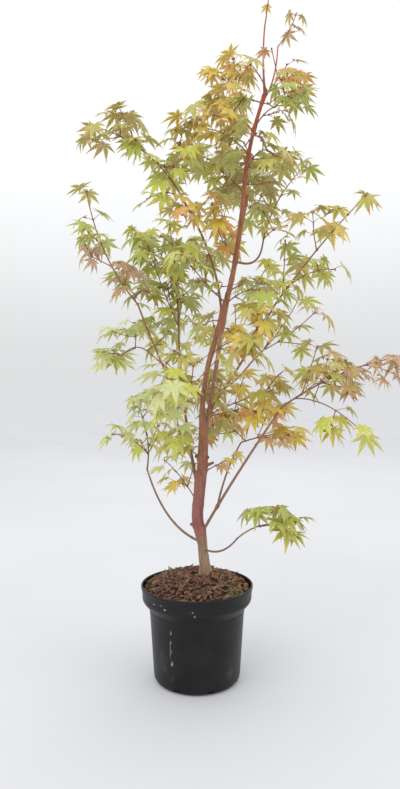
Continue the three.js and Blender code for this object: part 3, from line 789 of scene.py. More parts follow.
class Draft:
    """Points and faces of one piece, gathered in millimetres from many small parts."""

    def __init__(self) -> None:
        """Starts an empty piece."""
        self.points: list[Point] = []
        self.loops: list[Point] = []
        self.sizes: list[Point] = []
        self.finishes: list[Point] = []
        self.count = 0

    def add(self, points: Point, faces: Sequence[Point], finish: int | Sequence[Point] = 0) -> None:
        """Adds a part.

        Args:
            points: Its points, one row each.
            faces: Tables of faces, each table of one number of corners.
            finish: The index of its material, or one table of indices for each table of faces.
        """
        for i, table in enumerate(faces):
            self.loops.append((np.asarray(table) + self.count).ravel())
            self.sizes.append(np.full(len(table), np.shape(table)[1]))
            of_faces = finish if isinstance(finish, int) else finish[i]
            self.finishes.append(np.broadcast_to(of_faces, len(table)))
        self.points.append(np.asarray(points, float).reshape(-1, 3))
        self.count += len(self.points[-1])

    def piece(self, name: str, materials: Sequence[Material], slot: str,
              nodes: Sequence[str] = (), crease: float = SMOOTH) -> bpy.types.Object:
        """Makes the piece in metres, on the plant's body.

        Args:
            name: The piece's name.
            materials: Its materials, in the order of the finish indices.
            slot: The record's material slot; not used.
            nodes: The CAD nodes that it stands for.
            crease: The angle in degrees over which an edge stays sharp.

        Returns:
            The piece.
        """
        sizes, loops = np.concatenate(self.sizes), np.concatenate(self.loops)
        mesh = bpy.data.meshes.new(name)
        mesh.vertices.add(self.count)
        mesh.vertices.foreach_set("co", (np.vstack(self.points) * MM).astype(np.float32).ravel())
        mesh.loops.add(len(loops))
        mesh.loops.foreach_set("vertex_index", loops.astype(np.int32))
        mesh.polygons.add(len(sizes))
        mesh.polygons.foreach_set("loop_start", (np.cumsum(sizes) - sizes).astype(np.int32))
        mesh.polygons.foreach_set("material_index", np.concatenate(self.finishes).astype(np.int32))
        mesh.polygons.foreach_set("use_smooth", np.full(len(sizes), True))
        mesh.update(calc_edges=True)
        mesh.validate()
        if crease < SMOOTH:
            mesh.set_sharp_from_angle(angle=math.radians(crease))
        for material in materials:
            mesh.materials.append(material)
        piece = placed(name, mesh)
        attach(piece, BODY)
        if nodes:
            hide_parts(*nodes)
        log.info("%s: %d faces, for %d nodes", name, len(sizes), len(nodes))
        return piece


def frames_along(points: Point) -> tuple[Point, Point]:
    """Two directions square to a path at each of its points, turning with it and not about it.

    Args:
        points: The path.

    Returns:
        The two directions, as tables by point.
    """
    along = np.gradient(points, axis=0)
    along /= np.linalg.norm(along, axis=1)[:, None]
    sides = np.empty_like(points)
    side = np.array([1.0, 0.0, 0.0]) if abs(along[0][0]) < 0.9 else np.array([0.0, 1.0, 0.0])
    for i, way in enumerate(along):
        side = unit(side - way * (side @ way))
        sides[i] = side
    return sides, np.cross(along, sides)


def ring_walls(rings: int, sides: int) -> Point:
    """Four-cornered faces between rings of points that follow one another.

    Args:
        rings: How many rings there are.
        sides: Corners of a ring.

    Returns:
        A table of point indices.
    """
    ring = np.arange(sides)
    after = (ring + 1) % sides
    rows = sides * np.arange(rings - 1)[:, None]
    return np.stack([rows + ring, rows + after, rows + sides + after, rows + sides + ring], 2).reshape(-1, 4)


def ring_ends(rings: int, sides: int) -> Point:
    """Three-cornered faces that close the first and last ring on two centres, which follow the rings.

    Args:
        rings: How many rings there are.
        sides: Corners of a ring.

    Returns:
        A table of point indices.
    """
    ring = np.arange(sides)
    after = (ring + 1) % sides
    last, foot = (rings - 1) * sides, rings * sides
    return np.vstack([np.stack([after, ring, np.full(sides, foot)], 1),
                      np.stack([last + ring, last + after, np.full(sides, foot + 1)], 1)])


def tube(points: Point, radii: Point, sides: int) -> tuple[Point, list[Point]]:
    """A closed tube of rings along a path.

    Args:
        points: The path.
        radii: The radius at each point, or a table of radii by point and side.
        sides: Corners of a ring.

    Returns:
        The tube's points, with the two end centres last, and its tables of faces.
    """
    right, ahead = frames_along(points)
    turn = 2 * np.pi * np.arange(sides) / sides
    out = right[:, None] * np.cos(turn)[None, :, None] + ahead[:, None] * np.sin(turn)[None, :, None]
    reach = radii[:, None] if radii.ndim == 1 else radii
    skin = (points[:, None] + out * reach[:, :, None]).reshape(-1, 3)
    faces = [ring_walls(len(points), sides), ring_ends(len(points), sides)]
    return np.vstack([skin, points[:1], points[-1:]]), faces


class Grain:
    """Smooth seeded noise over a skin that closes on itself round its girth."""

    def __init__(self, seed: int, around: int, rows: int = 512) -> None:
        """Draws the grain's lattice, with a number of cells around."""
        self.lattice = np.random.default_rng(seed).uniform(-1, 1, (rows, around))

    def at(self, turns: Point, steps: Point) -> Point:
        """The grain at shares of a turn and at steps along.

        Args:
            turns: Shares of a turn.
            steps: Cells along.

        Returns:
            Heights between -1 and 1.
        """
        rows, around = self.lattice.shape
        u, v = turns * around, steps % rows
        iu, iv = np.floor(u).astype(int), np.floor(v).astype(int)
        fu, fv = u - iu, v - iv
        fu, fv = fu * fu * (3 - 2 * fu), fv * fv * (3 - 2 * fv)
        corners = [[self.lattice[(iv + dv) % rows, (iu + du) % around] for du in (0, 1)] for dv in (0, 1)]
        low, high = (left * (1 - fu) + right * fu for left, right in corners)
        return low * (1 - fv) + high * fv


def bump(distance: Point, width: float) -> Point:
    """A smooth hump of height one and of a given width."""
    return np.exp(-(distance / width) ** 2)


@dataclass
class Axis:
    """A limb's smooth heart line with its radii, for the skin that is laid round it."""

    points: Point
    radii: Point

    def outside(self, points: Point) -> Point:
        """How far points lie outside the limb's surface."""
        away = stretch_distances(points, self.points[:-1], self.points[1:])
        return (away - np.minimum(self.radii[:-1], self.radii[1:])).min(axis=1)


# ---------------- shared shader effects


def add_node(tree: Tree, kind: str, inputs: Optional[dict[str | int, object]] = None,
             **settings: object) -> Node:
    """Adds a shader node.

    Args:
        tree: The tree that it goes to.
        kind: Its type's name after ShaderNode.
        inputs: The values of its sockets.
        settings: The values of its own settings.

    Returns:
        The node.
    """
    node = tree.nodes.new(f"ShaderNode{kind}")
    for name, value in settings.items():
        setattr(node, name, value)
    for socket, value in (inputs or {}).items():
        node.inputs[socket].default_value = value
    return node


def link(tree: Tree, *runs: tuple[Node, str | int, Node, str | int]) -> None:
    """Links outputs to inputs, each run given as a node, its output, the next node and its input."""
    for giver, output, taker, socket in runs:
        tree.links.new(giver.outputs[output], taker.inputs[socket])


def painted(code: str) -> Colour:
    """The linear colour of a six-digit screen colour."""
    shares = [int(code[i:i + 2], 16) / 255 for i in (0, 2, 4)]
    return (*(s / 12.92 if s <= 0.04045 else ((s + 0.055) / 1.055) ** 2.4 for s in shares), 1.0)


VECTOR, NUMBER, COLOUR = "NodeSocketVector", "NodeSocketFloat", "NodeSocketColor"
PLACE, STRETCH, MASK = ("Place", VECTOR, None), ("Stretch", VECTOR, (1.0, 1.0, 1.0)), ("Mask", NUMBER)


class Effects:
    """Node groups that several finishes share, each built once."""

    @staticmethod
    def group(name: str, inputs: Sequence[tuple[str, str, object]],
              outputs: Sequence[tuple[str, str]]) -> tuple[Tree, Node, Node]:
        """Starts a group.

        Args:
            name: The group's name.
            inputs: Name, socket kind and usual value of each input.
            outputs: Name and socket kind of each output.

        Returns:
            The group, its input node and its output node.
        """
        tree = bpy.data.node_groups.new(name, "ShaderNodeTree")
        for label, kind, value in inputs:
            socket = tree.interface.new_socket(label, in_out="INPUT", socket_type=kind)
            if value is not None:
                socket.default_value = value
        for label, kind in outputs:
            tree.interface.new_socket(label, in_out="OUTPUT", socket_type=kind)
        return tree, tree.nodes.new("NodeGroupInput"), tree.nodes.new("NodeGroupOutput")

    @staticmethod
    def textured(tree: Tree, given: Node, kind: str, **inputs: float) -> Node:
        """Adds a texture on the group's place and stretch, at its scale.

        Args:
            tree: The group.
            given: Its input node.
            kind: The texture's type.
            inputs: The values of its other sockets.

        Returns:
            The texture's node.
        """
        stretch = add_node(tree, "VectorMath", operation="MULTIPLY")
        texture = add_node(tree, kind, inputs)
        link(tree, (given, "Place", stretch, 0), (given, "Stretch", stretch, 1),
             (stretch, 0, texture, "Vector"), (given, "Scale", texture, "Scale"))
        return texture

    @staticmethod
    @cache
    def mottle() -> Tree:
        """Blends two colours in soft patches.

        Returns:
            The group, which takes a place, the colours, the size of a patch, a stretch and a share.
        """
        inputs = [PLACE, STRETCH, ("Scale", NUMBER, 40.0), ("Share", NUMBER, 1.0),
                  ("Colour", COLOUR, None), ("Second colour", COLOUR, None)]
        tree, given, made = Effects.group("soft_mottle", inputs, [("Colour", COLOUR), MASK])
        noise = Effects.textured(tree, given, "TexNoise", Detail=4)
        soft = add_node(tree, "MapRange", {"From Min": 0.36, "From Max": 0.64},
                        interpolation_type="SMOOTHSTEP")
        share = add_node(tree, "Math", operation="MULTIPLY")
        blend = add_node(tree, "Mix", data_type="RGBA")
        link(tree, (noise, "Fac", soft, "Value"), (soft, "Result", share, 0), (given, "Share", share, 1),
             (share, 0, blend, 0), (given, "Colour", blend, 6), (given, "Second colour", blend, 7),
             (blend, 2, made, "Colour"), (soft, "Result", made, "Mask"))
        return tree

    @staticmethod
    @cache
    def relief() -> Tree:
        """A fine surface height.

        Returns:
            The group, which takes a place, a stretch and the size of the grain.
        """
        inputs = [PLACE, STRETCH, ("Scale", NUMBER, 200.0)]
        tree, given, made = Effects.group("fine_relief", inputs, [("Height", NUMBER)])
        noise = Effects.textured(tree, given, "TexNoise", Detail=5, Roughness=0.6)
        link(tree, (noise, "Fac", made, "Height"))
        return tree

    @staticmethod
    @cache
    def flecks() -> Tree:
        """A mask of small scattered flecks.

        Returns:
            The group, which takes a place, a stretch, the flecks' spacing and their size.
        """
        inputs = [PLACE, STRETCH, ("Scale", NUMBER, 200.0), ("Size", NUMBER, 0.2)]
        tree, given, made = Effects.group("flecks", inputs, [MASK])
        cells = Effects.textured(tree, given, "TexVoronoi")
        edge = add_node(tree, "MapRange", {"From Min": 0.0, "To Min": 1.0, "To Max": 0.0})
        link(tree, (cells, "Distance", edge, "Value"), (given, "Size", edge, "From Max"),
             (edge, "Result", made, "Mask"))
        return tree

    @staticmethod
    @cache
    def patch() -> Tree:
        """A mask that fades out round a point.

        Returns:
            The group, which takes a place, the centre, the reach each way and the raggedness.
        """
        inputs = [PLACE, ("Centre", VECTOR, None), ("Reach", VECTOR, (0.01, 0.01, 0.01)),
                  ("Raggedness", NUMBER, 0.8)]
        tree, given, made = Effects.group("ragged_patch", inputs, [MASK])
        away, scaled, length = (add_node(tree, "VectorMath", operation=operation)
                                for operation in ("SUBTRACT", "DIVIDE", "LENGTH"))
        noise = add_node(tree, "TexNoise", {"Scale": 260})
        ragged = add_node(tree, "Math", operation="MULTIPLY_ADD")
        edge = add_node(tree, "MapRange", {"From Min": 0.75, "From Max": 1.25, "To Min": 1.0, "To Max": 0.0},
                        interpolation_type="SMOOTHSTEP")
        link(tree, (given, "Place", away, 0), (given, "Centre", away, 1), (away, 0, scaled, 0),
             (given, "Reach", scaled, 1), (scaled, 0, length, 0), (given, "Place", noise, "Vector"),
             (noise, "Fac", ragged, 0), (given, "Raggedness", ragged, 1), (length, "Value", ragged, 2),
             (ragged, 0, edge, "Value"), (edge, "Result", made, "Mask"))
        return tree


class Paint:
    """A material under construction: its tree, its Principled shader and its place on the object."""

    def __init__(self, name: str, roughness: float) -> None:
        """Starts a material.

        Args:
            name: Its name.
            roughness: Its roughness.
        """
        self.material = bpy.data.materials.new(name)
        self.material.use_nodes = True
        self.tree = self.material.node_tree
        self.shader = self.tree.nodes["Principled BSDF"]
        self.shader.inputs["Roughness"].default_value = roughness
        self.place = add_node(self.tree, "TexCoord")

    def effect(self, group: Tree, **values: object) -> Node:
        """Places a shared effect on the object's coordinates.

        Args:
            group: The effect's group.
            values: The values of its sockets, with _ for a space in a socket's name.

        Returns:
            The effect's node.
        """
        inputs = {label.replace("_", " "): value for label, value in values.items()}
        node = add_node(self.tree, "Group", inputs, node_tree=group)
        link(self.tree, (self.place, "Object", node, "Place"))
        return node

    def blend(self, base: Output, over: str, mask: Output, share: float = 1.0) -> Output:
        """Lays a colour over what lies below it.

        Args:
            base: The node and output that hold what lies below.
            over: The colour.
            mask: The node and output that hold the mask.
            share: How strongly the colour shows.

        Returns:
            The node and output that hold the blend.
        """
        held = add_node(self.tree, "Math", {1: share}, operation="MULTIPLY")
        mix = add_node(self.tree, "Mix", {7: painted(over)}, data_type="RGBA")
        link(self.tree, (*mask, held, 0), (held, 0, mix, 0), (*base, mix, 6))
        return mix, 2

    def grain(self, scale: float, depth: float, stretch: Sequence[float] = (1.0, 1.0, 1.0)) -> None:
        """Gives the surface a fine relief.

        Args:
            scale: The size of its grain, larger for finer grain.
            depth: Its depth in millimetres.
            stretch: How the grain is drawn out each way.
        """
        height = self.effect(Effects.relief(), Scale=scale, Stretch=stretch)
        relief = add_node(self.tree, "Bump", {"Distance": depth * MM, "Strength": 1.0})
        link(self.tree, (height, "Height", relief, "Height"), (relief, "Normal", self.shader, "Normal"))

    def finish(self, colour: Output) -> Material:
        """Drives the base colour, and returns the material."""
        link(self.tree, (*colour, self.shader, "Base Color"))
        return self.material


# ---------------- finishes


@dataclass(frozen=True)
class LeafFinish:
    """A leaf's upper side, its turning tips and its underside, as screen colours."""

    blade: str
    tips: str
    underside: str

    def materials(self, tint: Tint) -> list[Material]:
        """The materials of a tint.

        Args:
            tint: The tint that they are named for.

        Returns:
            The blade's, the tips' and the underside's, in the order of the faces' finishes.
        """
        made = []
        for part, colour, roughness in (("blade", self.blade, 0.42), ("tips", self.tips, 0.48),
                                        ("underside", self.underside, 0.62)):
            paint = Paint(f"{tint.value}_{part}", roughness)
            shade = painted(colour)
            deeper = (*(c * k for c, k in zip(shade[:3], LEAF_DEEPER)), 1.0)
            mottle = paint.effect(Effects.mottle(), Scale=90.0, Share=0.75, Colour=shade,
                                  Second_colour=deeper)
            paint.shader.inputs["Subsurface Weight"].default_value = 0.45
            paint.shader.inputs["Subsurface Radius"].default_value = (0.9, 0.8, 0.35)
            paint.shader.inputs["Subsurface Scale"].default_value = 1.2 * MM
            paint.grain(900.0, 0.1)
            made.append(paint.finish((mottle, "Colour")))
        return made


LEAF_DEEPER = (0.8, 0.84, 0.7)
LEAF_FINISHES = {
    Tint.GREEN: LeafFinish("abb251", "b8a94e", "bcc07c"),
    Tint.LIME: LeafFinish("c9cb5e", "d4b854", "d0cf84"),
    Tint.OLIVE: LeafFinish("b7ad54", "be8e50", "c0b678"),
    Tint.PALE: LeafFinish("d0d494", "dacc89", "dadeab"),
    Tint.GOLD: LeafFinish("dcbf58", "dd994b", "e0c87e"),
    Tint.ORANGE: LeafFinish("dea15c", "d27c53", "dfb585"),
    Tint.CORAL: LeafFinish("d69072", "c66d55", "daac90"),
    Tint.RUST: LeafFinish("c09a7c", "a36e5e", "caad9a"),
    Tint.BROWN: LeafFinish("c3a566", "9a7854", "c5b182"),
}


@dataclass(frozen=True)
class BarkFinish:
    """Smooth young bark whose colour changes with height, with pale lenticels and fine striations."""

    name: str
    bands: tuple[tuple[float, str], ...]
    shade: str
    film: str
    lenticels: str
    roughness: float

    def material(self) -> Material:
        """Paints the bark in a ramp of colours by height, under streaks, a film and lenticels.

        Returns:
            Its material.
        """
        paint = Paint(self.name, self.roughness)
        paint.shader.inputs["Specular IOR Level"].default_value = 0.3
        low, high = self.bands[0][0], self.bands[-1][0]
        split = add_node(paint.tree, "SeparateXYZ")
        rise = add_node(paint.tree, "MapRange", {"From Min": low * MM, "From Max": high * MM})
        ramp = add_node(paint.tree, "ValToRGB")
        stops = ramp.color_ramp.elements
        while len(stops) < len(self.bands):
            stops.new(0.5)
        for stop, (height, colour) in zip(stops, self.bands):
            stop.position, stop.color = (height - low) / (high - low), painted(colour)
        link(paint.tree, (paint.place, "Object", split, 0), (split, "Z", rise, "Value"),
             (rise, "Result", ramp, "Fac"))
        streaks = paint.effect(Effects.mottle(), Scale=320.0, Stretch=(1.0, 1.0, 0.12))
        darker = paint.blend((ramp, "Color"), self.shade, (streaks, "Mask"), 0.42)
        film = paint.effect(Effects.mottle(), Scale=70.0, Stretch=(1.0, 1.0, 0.5))
        paler = paint.blend(darker, self.film, (film, "Mask"), 0.16)
        dots = paint.effect(Effects.flecks(), Scale=210.0, Stretch=(0.8, 0.8, 1.7), Size=0.24)
        whole = paint.blend(paler, self.lenticels, (dots, "Mask"), 0.55)
        paint.grain(520.0, 0.5, (1.0, 1.0, 0.3))
        return paint.finish(whole)


TRUNK_BARK = BarkFinish(
    "trunk_bark",
    ((186, "a58c70"), (248, "a38668"), (268, "98605c"), (300, "985a5c"), (345, "9c605a"),
     (400, "a86e55"), (520, "b07a5e"), (700, "b57554"), (900, "ba6e4e"), (1080, "c4684a")),
    "55322a", "b8987c", "cdb190", 0.5)
BOUGH_BARK = BarkFinish(
    "bough_bark",
    ((230, "8a6e5c"), (330, "94705e"), (450, "a37060"), (620, "a66e5a"), (800, "a6644c"),
     (1060, "b85c42"), (1200, "b65e46")),
    "5e3e34", "ac9480", "c4a890", 0.5)
# The second stem's bark: pinkish as its own bark is, and painted lighter still to offset the shade it falls
# in behind the trunk.
STEM_BARK_PAINTED_LIGHTER = BarkFinish(
    "stem_bark",
    ((410, "b0806c"), (600, "c08e78"), (750, "c08468"), (900, "b87458")),
    "6e4c40", "c0a48c", "d0b498", 0.5)
TWIG_BARK = BarkFinish(
    "twig_bark",
    ((230, "8c725e"), (450, "94705a"), (800, "9a6a54"), (1320, "ac664e")),
    "62483a", "a4946e", "be9e82", 0.5)


@dataclass(frozen=True)
class PlainFinish:
    """A finish of two close colours in patches, with a fine relief."""

    name: str
    colour: str
    second: str
    scale: float
    roughness: float
    grain: float
    depth: float

    def material(self) -> Material:
        """Paints the finish.

        Returns:
            Its material.
        """
        paint = Paint(self.name, self.roughness)
        mottle = paint.effect(Effects.mottle(), Scale=self.scale, Colour=painted(self.colour),
                              Second_colour=painted(self.second))
        paint.grain(self.grain, self.depth)
        return paint.finish((mottle, "Colour"))


STALK_SKIN = PlainFinish("stalk_skin", "b8694a", "b58b55", 120, 0.45, 900, 0.08)
BUD_SCALES = PlainFinish("bud_scales", "8a4034", "a85c44", 500, 0.4, 1500, 0.15)
CUT_WOOD = PlainFinish("cut_wood", "4a3c34", "6f5c4c", 300, 0.8, 700, 0.5)
SOIL_BED = PlainFinish("soil_bed", "2c1d15", "45301f", 160, 0.95, 420, 2.0)
RED_CHIP = PlainFinish("red_bark_chip", "6c463a", "876052", 140, 0.85, 650, 0.7)
BROWN_CHIP = PlainFinish("brown_bark_chip", "54402f", "705843", 120, 0.88, 650, 0.7)
TAN_CHIP = PlainFinish("tan_bark_chip", "7e6448", "967c5c", 150, 0.82, 650, 0.5)
ORANGE_CHIP = PlainFinish("orange_bark_chip", "865a3a", "9a6e48", 150, 0.84, 650, 0.6)
MOSSY_CHIP = PlainFinish("mossy_bark_chip", "74704e", "8b8560", 130, 0.9, 650, 0.6)
FLOOR_PAINT = PlainFinish("studio_floor", "dcdde0", "d9dade", 1.5, 1.0, 3, 0.0)


@dataclass(frozen=True)
class PotPlastic:
    """Black moulded plastic, satin, dusty low down, with dried lime in a streak and in specks, and painted
    sheen in two faint tall patches on the front left and right.
    """

    black: str = "0e0e10"
    worn: str = "18181a"
    dust_and_sheen: str = "57534b"
    lime: str = "b9b6ad"
    rubbed: str = "3a3a3c"
    lime_from: float = 0.4
    roughness: float = 0.42

    def material(self) -> Material:
        """Paints the plastic.

        Returns:
            Its material.
        """
        paint = Paint("pot_plastic", self.roughness)
        paint.shader.inputs["Specular IOR Level"].default_value = 0.3
        base = paint.effect(Effects.mottle(), Scale=22.0, Colour=painted(self.black),
                            Second_colour=painted(self.worn))
        rubbed = paint.effect(Effects.flecks(), Scale=90.0, Stretch=(1.0, 1.0, 0.35), Size=0.12)
        whole = paint.blend((base, "Colour"), self.rubbed, (rubbed, "Mask"), 0.3)
        for centre, reach, ragged, share in LIME_DUST_AND_SHEEN_MARKS:
            mark = paint.effect(Effects.patch(), Centre=tuple(c * MM for c in centre),
                                Reach=tuple(r * MM for r in reach), Raggedness=ragged)
            # Fainter marks take the dust colour, which also paints the faint sheen on the pot's front flanks.
            colour = self.lime if share > self.lime_from else self.dust_and_sheen
            whole = paint.blend(whole, colour, (mark, "Mask"), share)
        paint.grain(620.0, 0.06)
        return paint.finish(whole)


# Lime and dust on the pot, and two faint tall patches of painted sheen on the front left and right, in
# millimetres: centre, reach each way, raggedness and how strongly it shows.
LIME_DUST_AND_SHEEN_MARKS = (
    ((-45, -69, 108), (2.2, 9, 6), 0.9, 0.75),
    ((-45, -68, 92), (2.0, 9, 7), 0.9, 0.8),
    ((-44, -66, 74), (2.0, 9, 7), 0.9, 0.65),
    ((-43, -66, 54), (4.0, 9, 7), 0.9, 0.75),
    ((-46, -66, 80), (1.6, 9, 34), 0.9, 0.45),
    ((-56, -58, 40), (9, 9, 11), 1.2, 0.3),
    ((-42, -64, 26), (7, 12, 12), 1.2, 0.35),
    ((-62, -56, 62), (5, 9, 14), 1.2, 0.25),
    ((58, -56, 30), (16, 22, 18), 1.1, 0.3),
    ((-74, -64, 156), (3.0, 9, 2.4), 0.8, 0.8),
    ((-55, -84, 152), (3.4, 9, 2.4), 0.9, 0.65),
    ((-61, -80, 158), (2.6, 9, 2.0), 0.9, 0.5),
    ((-3, -98, 146), (3.0, 9, 3.4), 0.9, 0.6),
    ((-7, -99, 153), (2.2, 9, 2.2), 0.9, 0.5),
    ((0, 0, 6), (90, 90, 9), 0.9, 0.28),
    # The last two: painted sheen, faint tall lighter patches on the front left and right, in the dust colour.
    ((-60, -58, 52), (22, 34, 46), 1.3, 0.16),
    ((62, -60, 44), (18, 30, 40), 1.3, 0.1),
)


# ---------------- trunk and boughs


# The bark's furrows: cells round the limb, length of a cell in millimetres and share of the depth.
FURROWS = ((11, 16.0, 1.0), (21, 7.0, 0.55), (30, 2.6, 0.3))
OLD_BARK_TOP, OLD_BARK_FADE = 262.0, 20.0
# Lenticels lie one to an area. Bud scars lie in pairs over a low ring, their depths as shares of the radius.
LENTICEL_AREA, LENTICEL_REACH, LENTICEL_WIDTH, LENTICEL_HEIGHT, LENTICEL_DEPTH = 170.0, 4.0, 1.7, 0.9, 0.22
SCARS_FROM, SCARS_APART, SCARS_STRAY, SCAR_ABOVE_RING = 26.0, 47.0, 9.0, 1.5
SCAR_RING, SCAR_DEPTH, SCAR_WIDTH, SCAR_HEIGHT = 0.035, 0.09, 3.2, 2.2
# A pruned stub: sides, rings of its shaft, and shares of its length and radius over the callused cut.
STUB_SIDES, STUB_SHAFT = 16, 9
CUT_LENGTHS, CUT_RADII = (1.0, 0.985, 0.95), (0.86, 0.7, 0.45, 0.2)
# Finishes of the limbs' faces, and the seeds of trunk and boughs.
BARK, CUT, STEM = 0, 1, 2
TRUNK_SEED, BOUGH_SEED, STEM_STEPS = 31, 50, 24


@dataclass
class Woodwork:
    """The skin of trunk and boughs, with the bark's relief and a collar where each limb springs."""

    limbs: dict[str, Limb]
    masses: list[Mass]
    trunk_step: float = 1.7
    trunk_sides: int = 60
    bough_step: float = 2.4
    bough_sides: int = 20
    collar: float = 7.0
    foot: float = 188.0
    flutes: int = 5
    waists: tuple[Triple, ...] = ((575.0, 190.0, 0.15), (960.0, 150.0, 0.14))
    smoothing: int = 13
    shoulder: float = 14.0
    meeting: float = 45.0
    swell_limit: float = 0.75
    flare_top: float = 222.0
    flare_height: float = 32.0
    rib_depth: float = 3.4
    rib_hollow: float = 0.8
    trunk_furrows: float = 0.2
    bough_furrows: float = 0.07

    def trunk_axis(self) -> Axis:
        """The trunk's heart line in close steps, with its radii smoothed between the stations.

        Returns:
            The line with its radii.
        """
        count = int((TRUNK_STATIONS[-1][0] - self.foot) / self.trunk_step)
        points = trunk_curve(count)
        heights = np.array([station[0] for station in TRUNK_STATIONS], float)
        radii = np.interp(points[:, 2], heights, [station[3] for station in TRUNK_STATIONS])
        kernel = np.hanning(self.smoothing) / np.hanning(self.smoothing).sum()
        smooth = np.convolve(np.pad(radii, self.smoothing // 2, mode="edge"), kernel, mode="valid")
        kept = points[:, 2] > self.foot
        slimmer = 1 - sum(share * bump(points[kept, 2] - height, width)
                          for height, width, share in self.waists)
        return Axis(points[kept], smooth[kept] * slimmer)

    def bough_axis(self, limb: Limb) -> Axis:
        """A bough's heart line in close steps, thicker where it springs from its carrier.

        Args:
            limb: The bough.

        Returns:
            The line with its radii.
        """
        steps = max(12, int(limb.curve.length() / self.bough_step))
        points = limb.curve.points(steps)
        shares = np.linspace(0, 1, steps + 1)
        radii = limb.radii[0] + (limb.radii[-1] - limb.radii[0]) * shares
        along = shares * limb.curve.length()
        spec = next(spec for spec in LIMBS if spec.name == limb.name)
        if spec.height is None:
            radii = radii + (limb.carrier.radii[-1] - radii[0]) * np.exp(-along / self.shoulder)
        return Axis(points, radii)

    def swelling(self, points: Point, others: Sequence[Axis]) -> Point:
        """How far a skin swells outwards towards the limbs that meet it, so that they join in a collar.

        Args:
            points: The skin's points.
            others: The limbs that meet it.

        Returns:
            The swelling at each point.
        """
        swell = np.zeros(len(points))
        for other in others:
            near = np.linalg.norm(points - other.points[0], axis=1) < self.meeting
            if near.any():
                outside = other.outside(points[near])
                share = np.clip(1 - np.abs(outside) / self.collar, 0, 1)
                swell[near] = np.maximum(swell[near], self.collar / 4 * share**2)
        return swell

    def bark(self, axis: Axis, sides: int, coarse: float, seed: int) -> Point:
        """The bark's own relief: long furrows, fine striations, bud scars and lenticels.

        Args:
            axis: The limb's heart line.
            sides: Corners of a ring.
            coarse: The depth of the furrows in millimetres, at the foot and above it.
            seed: The seed of the grain.

        Returns:
            Radial offsets by ring and side.
        """
        along = np.concatenate([[0], np.cumsum(np.linalg.norm(np.diff(axis.points, axis=0), axis=1))])
        turns, steps = np.meshgrid(np.arange(sides) / sides, along)
        old = np.clip((OLD_BARK_TOP - axis.points[:, 2]) / OLD_BARK_FADE, 0, 1)[:, None]
        depth = coarse * (0.5 + 1.6 * old)
        relief = np.zeros_like(turns)
        for number, (around, length, share) in enumerate(FURROWS):
            relief += share * depth * Grain(seed + number, around).at(turns, steps / length)
        draw = np.random.default_rng(seed + len(FURROWS))
        radius = axis.radii.mean()
        girth = 2 * np.pi * float(radius)
        for _ in range(int(along[-1] * girth / LENTICEL_AREA)):
            turn, place = draw.uniform(), draw.uniform(0, along[-1])
            rows = np.abs(along - place) < LENTICEL_REACH
            aside = (turns[rows] - turn + 0.5) % 1 - 0.5
            spot = bump(steps[rows] - place, LENTICEL_HEIGHT)
            relief[rows] += LENTICEL_DEPTH * bump(aside * girth, LENTICEL_WIDTH) * spot
        for place in np.arange(SCARS_FROM, along[-1], SCARS_APART) + draw.uniform(-SCARS_STRAY, SCARS_STRAY):
            relief += SCAR_RING * radius * bump(steps - place, SCAR_HEIGHT)
            turn = draw.uniform()
            for side in (turn, turn + 0.5):
                aside = (turns - side + 0.5) % 1 - 0.5
                spot = bump(steps - place - SCAR_ABOVE_RING, SCAR_HEIGHT)
                relief += SCAR_DEPTH * radius * bump(aside * girth, SCAR_WIDTH) * spot
        return relief

    def flare(self, axis: Axis) -> Point:
        """The ribs that run from the trunk's foot into its roots.

        Args:
            axis: The trunk's heart line.

        Returns:
            Radial offsets by ring and side.
        """
        turns = np.arange(self.trunk_sides) / self.trunk_sides
        ribs = 0.5 + 0.5 * np.cos(2 * np.pi * self.flutes * turns + 0.8 * np.sin(4 * np.pi * turns))
        fade = np.clip((self.flare_top - axis.points[:, 2]) / self.flare_height, 0, 1)[:, None] ** 2
        return fade * (self.rib_depth * ribs[None, :] ** 1.5 - self.rib_hollow)

    @staticmethod
    def stub(draft: Draft, axis: Axis, height: float, azimuth: float, length: float, radius: float) -> Axis:
        """Adds the stub of a pruned shoot to the trunk, its cut end dished and callused.

        Args:
            draft: The trunk's piece.
            axis: The trunk's heart line.
            height: Where it springs.
            azimuth: Which way it points, in degrees.
            length: Its length from the heart.
            radius: Its radius.

        Returns:
            Its heart line, for the collar.
        """
        i = int(np.argmin(np.abs(axis.points[:, 2] - height)))
        turn = math.radians(azimuth)
        aim = unit(np.array([math.cos(turn), math.sin(turn), STUB_RISE]))
        heart = axis.points[i]
        places = np.concatenate([np.linspace(0.3, 1, STUB_SHAFT), CUT_LENGTHS])
        points = heart + aim * (places * length)[:, None]
        points[:, 2] += 0.06 * length * (places**2)
        radii = radius * np.concatenate([np.linspace(1.25, 0.92, STUB_SHAFT - 1), CUT_RADII])
        skin, faces = tube(points, radii, STUB_SIDES)
        walls = np.where(faces[0].min(axis=1) >= STUB_SIDES * (STUB_SHAFT - 1), CUT, BARK)
        draft.add(skin, faces, [walls, np.repeat([BARK, CUT], STUB_SIDES)])
        return Axis(points[:6], radii[:6])

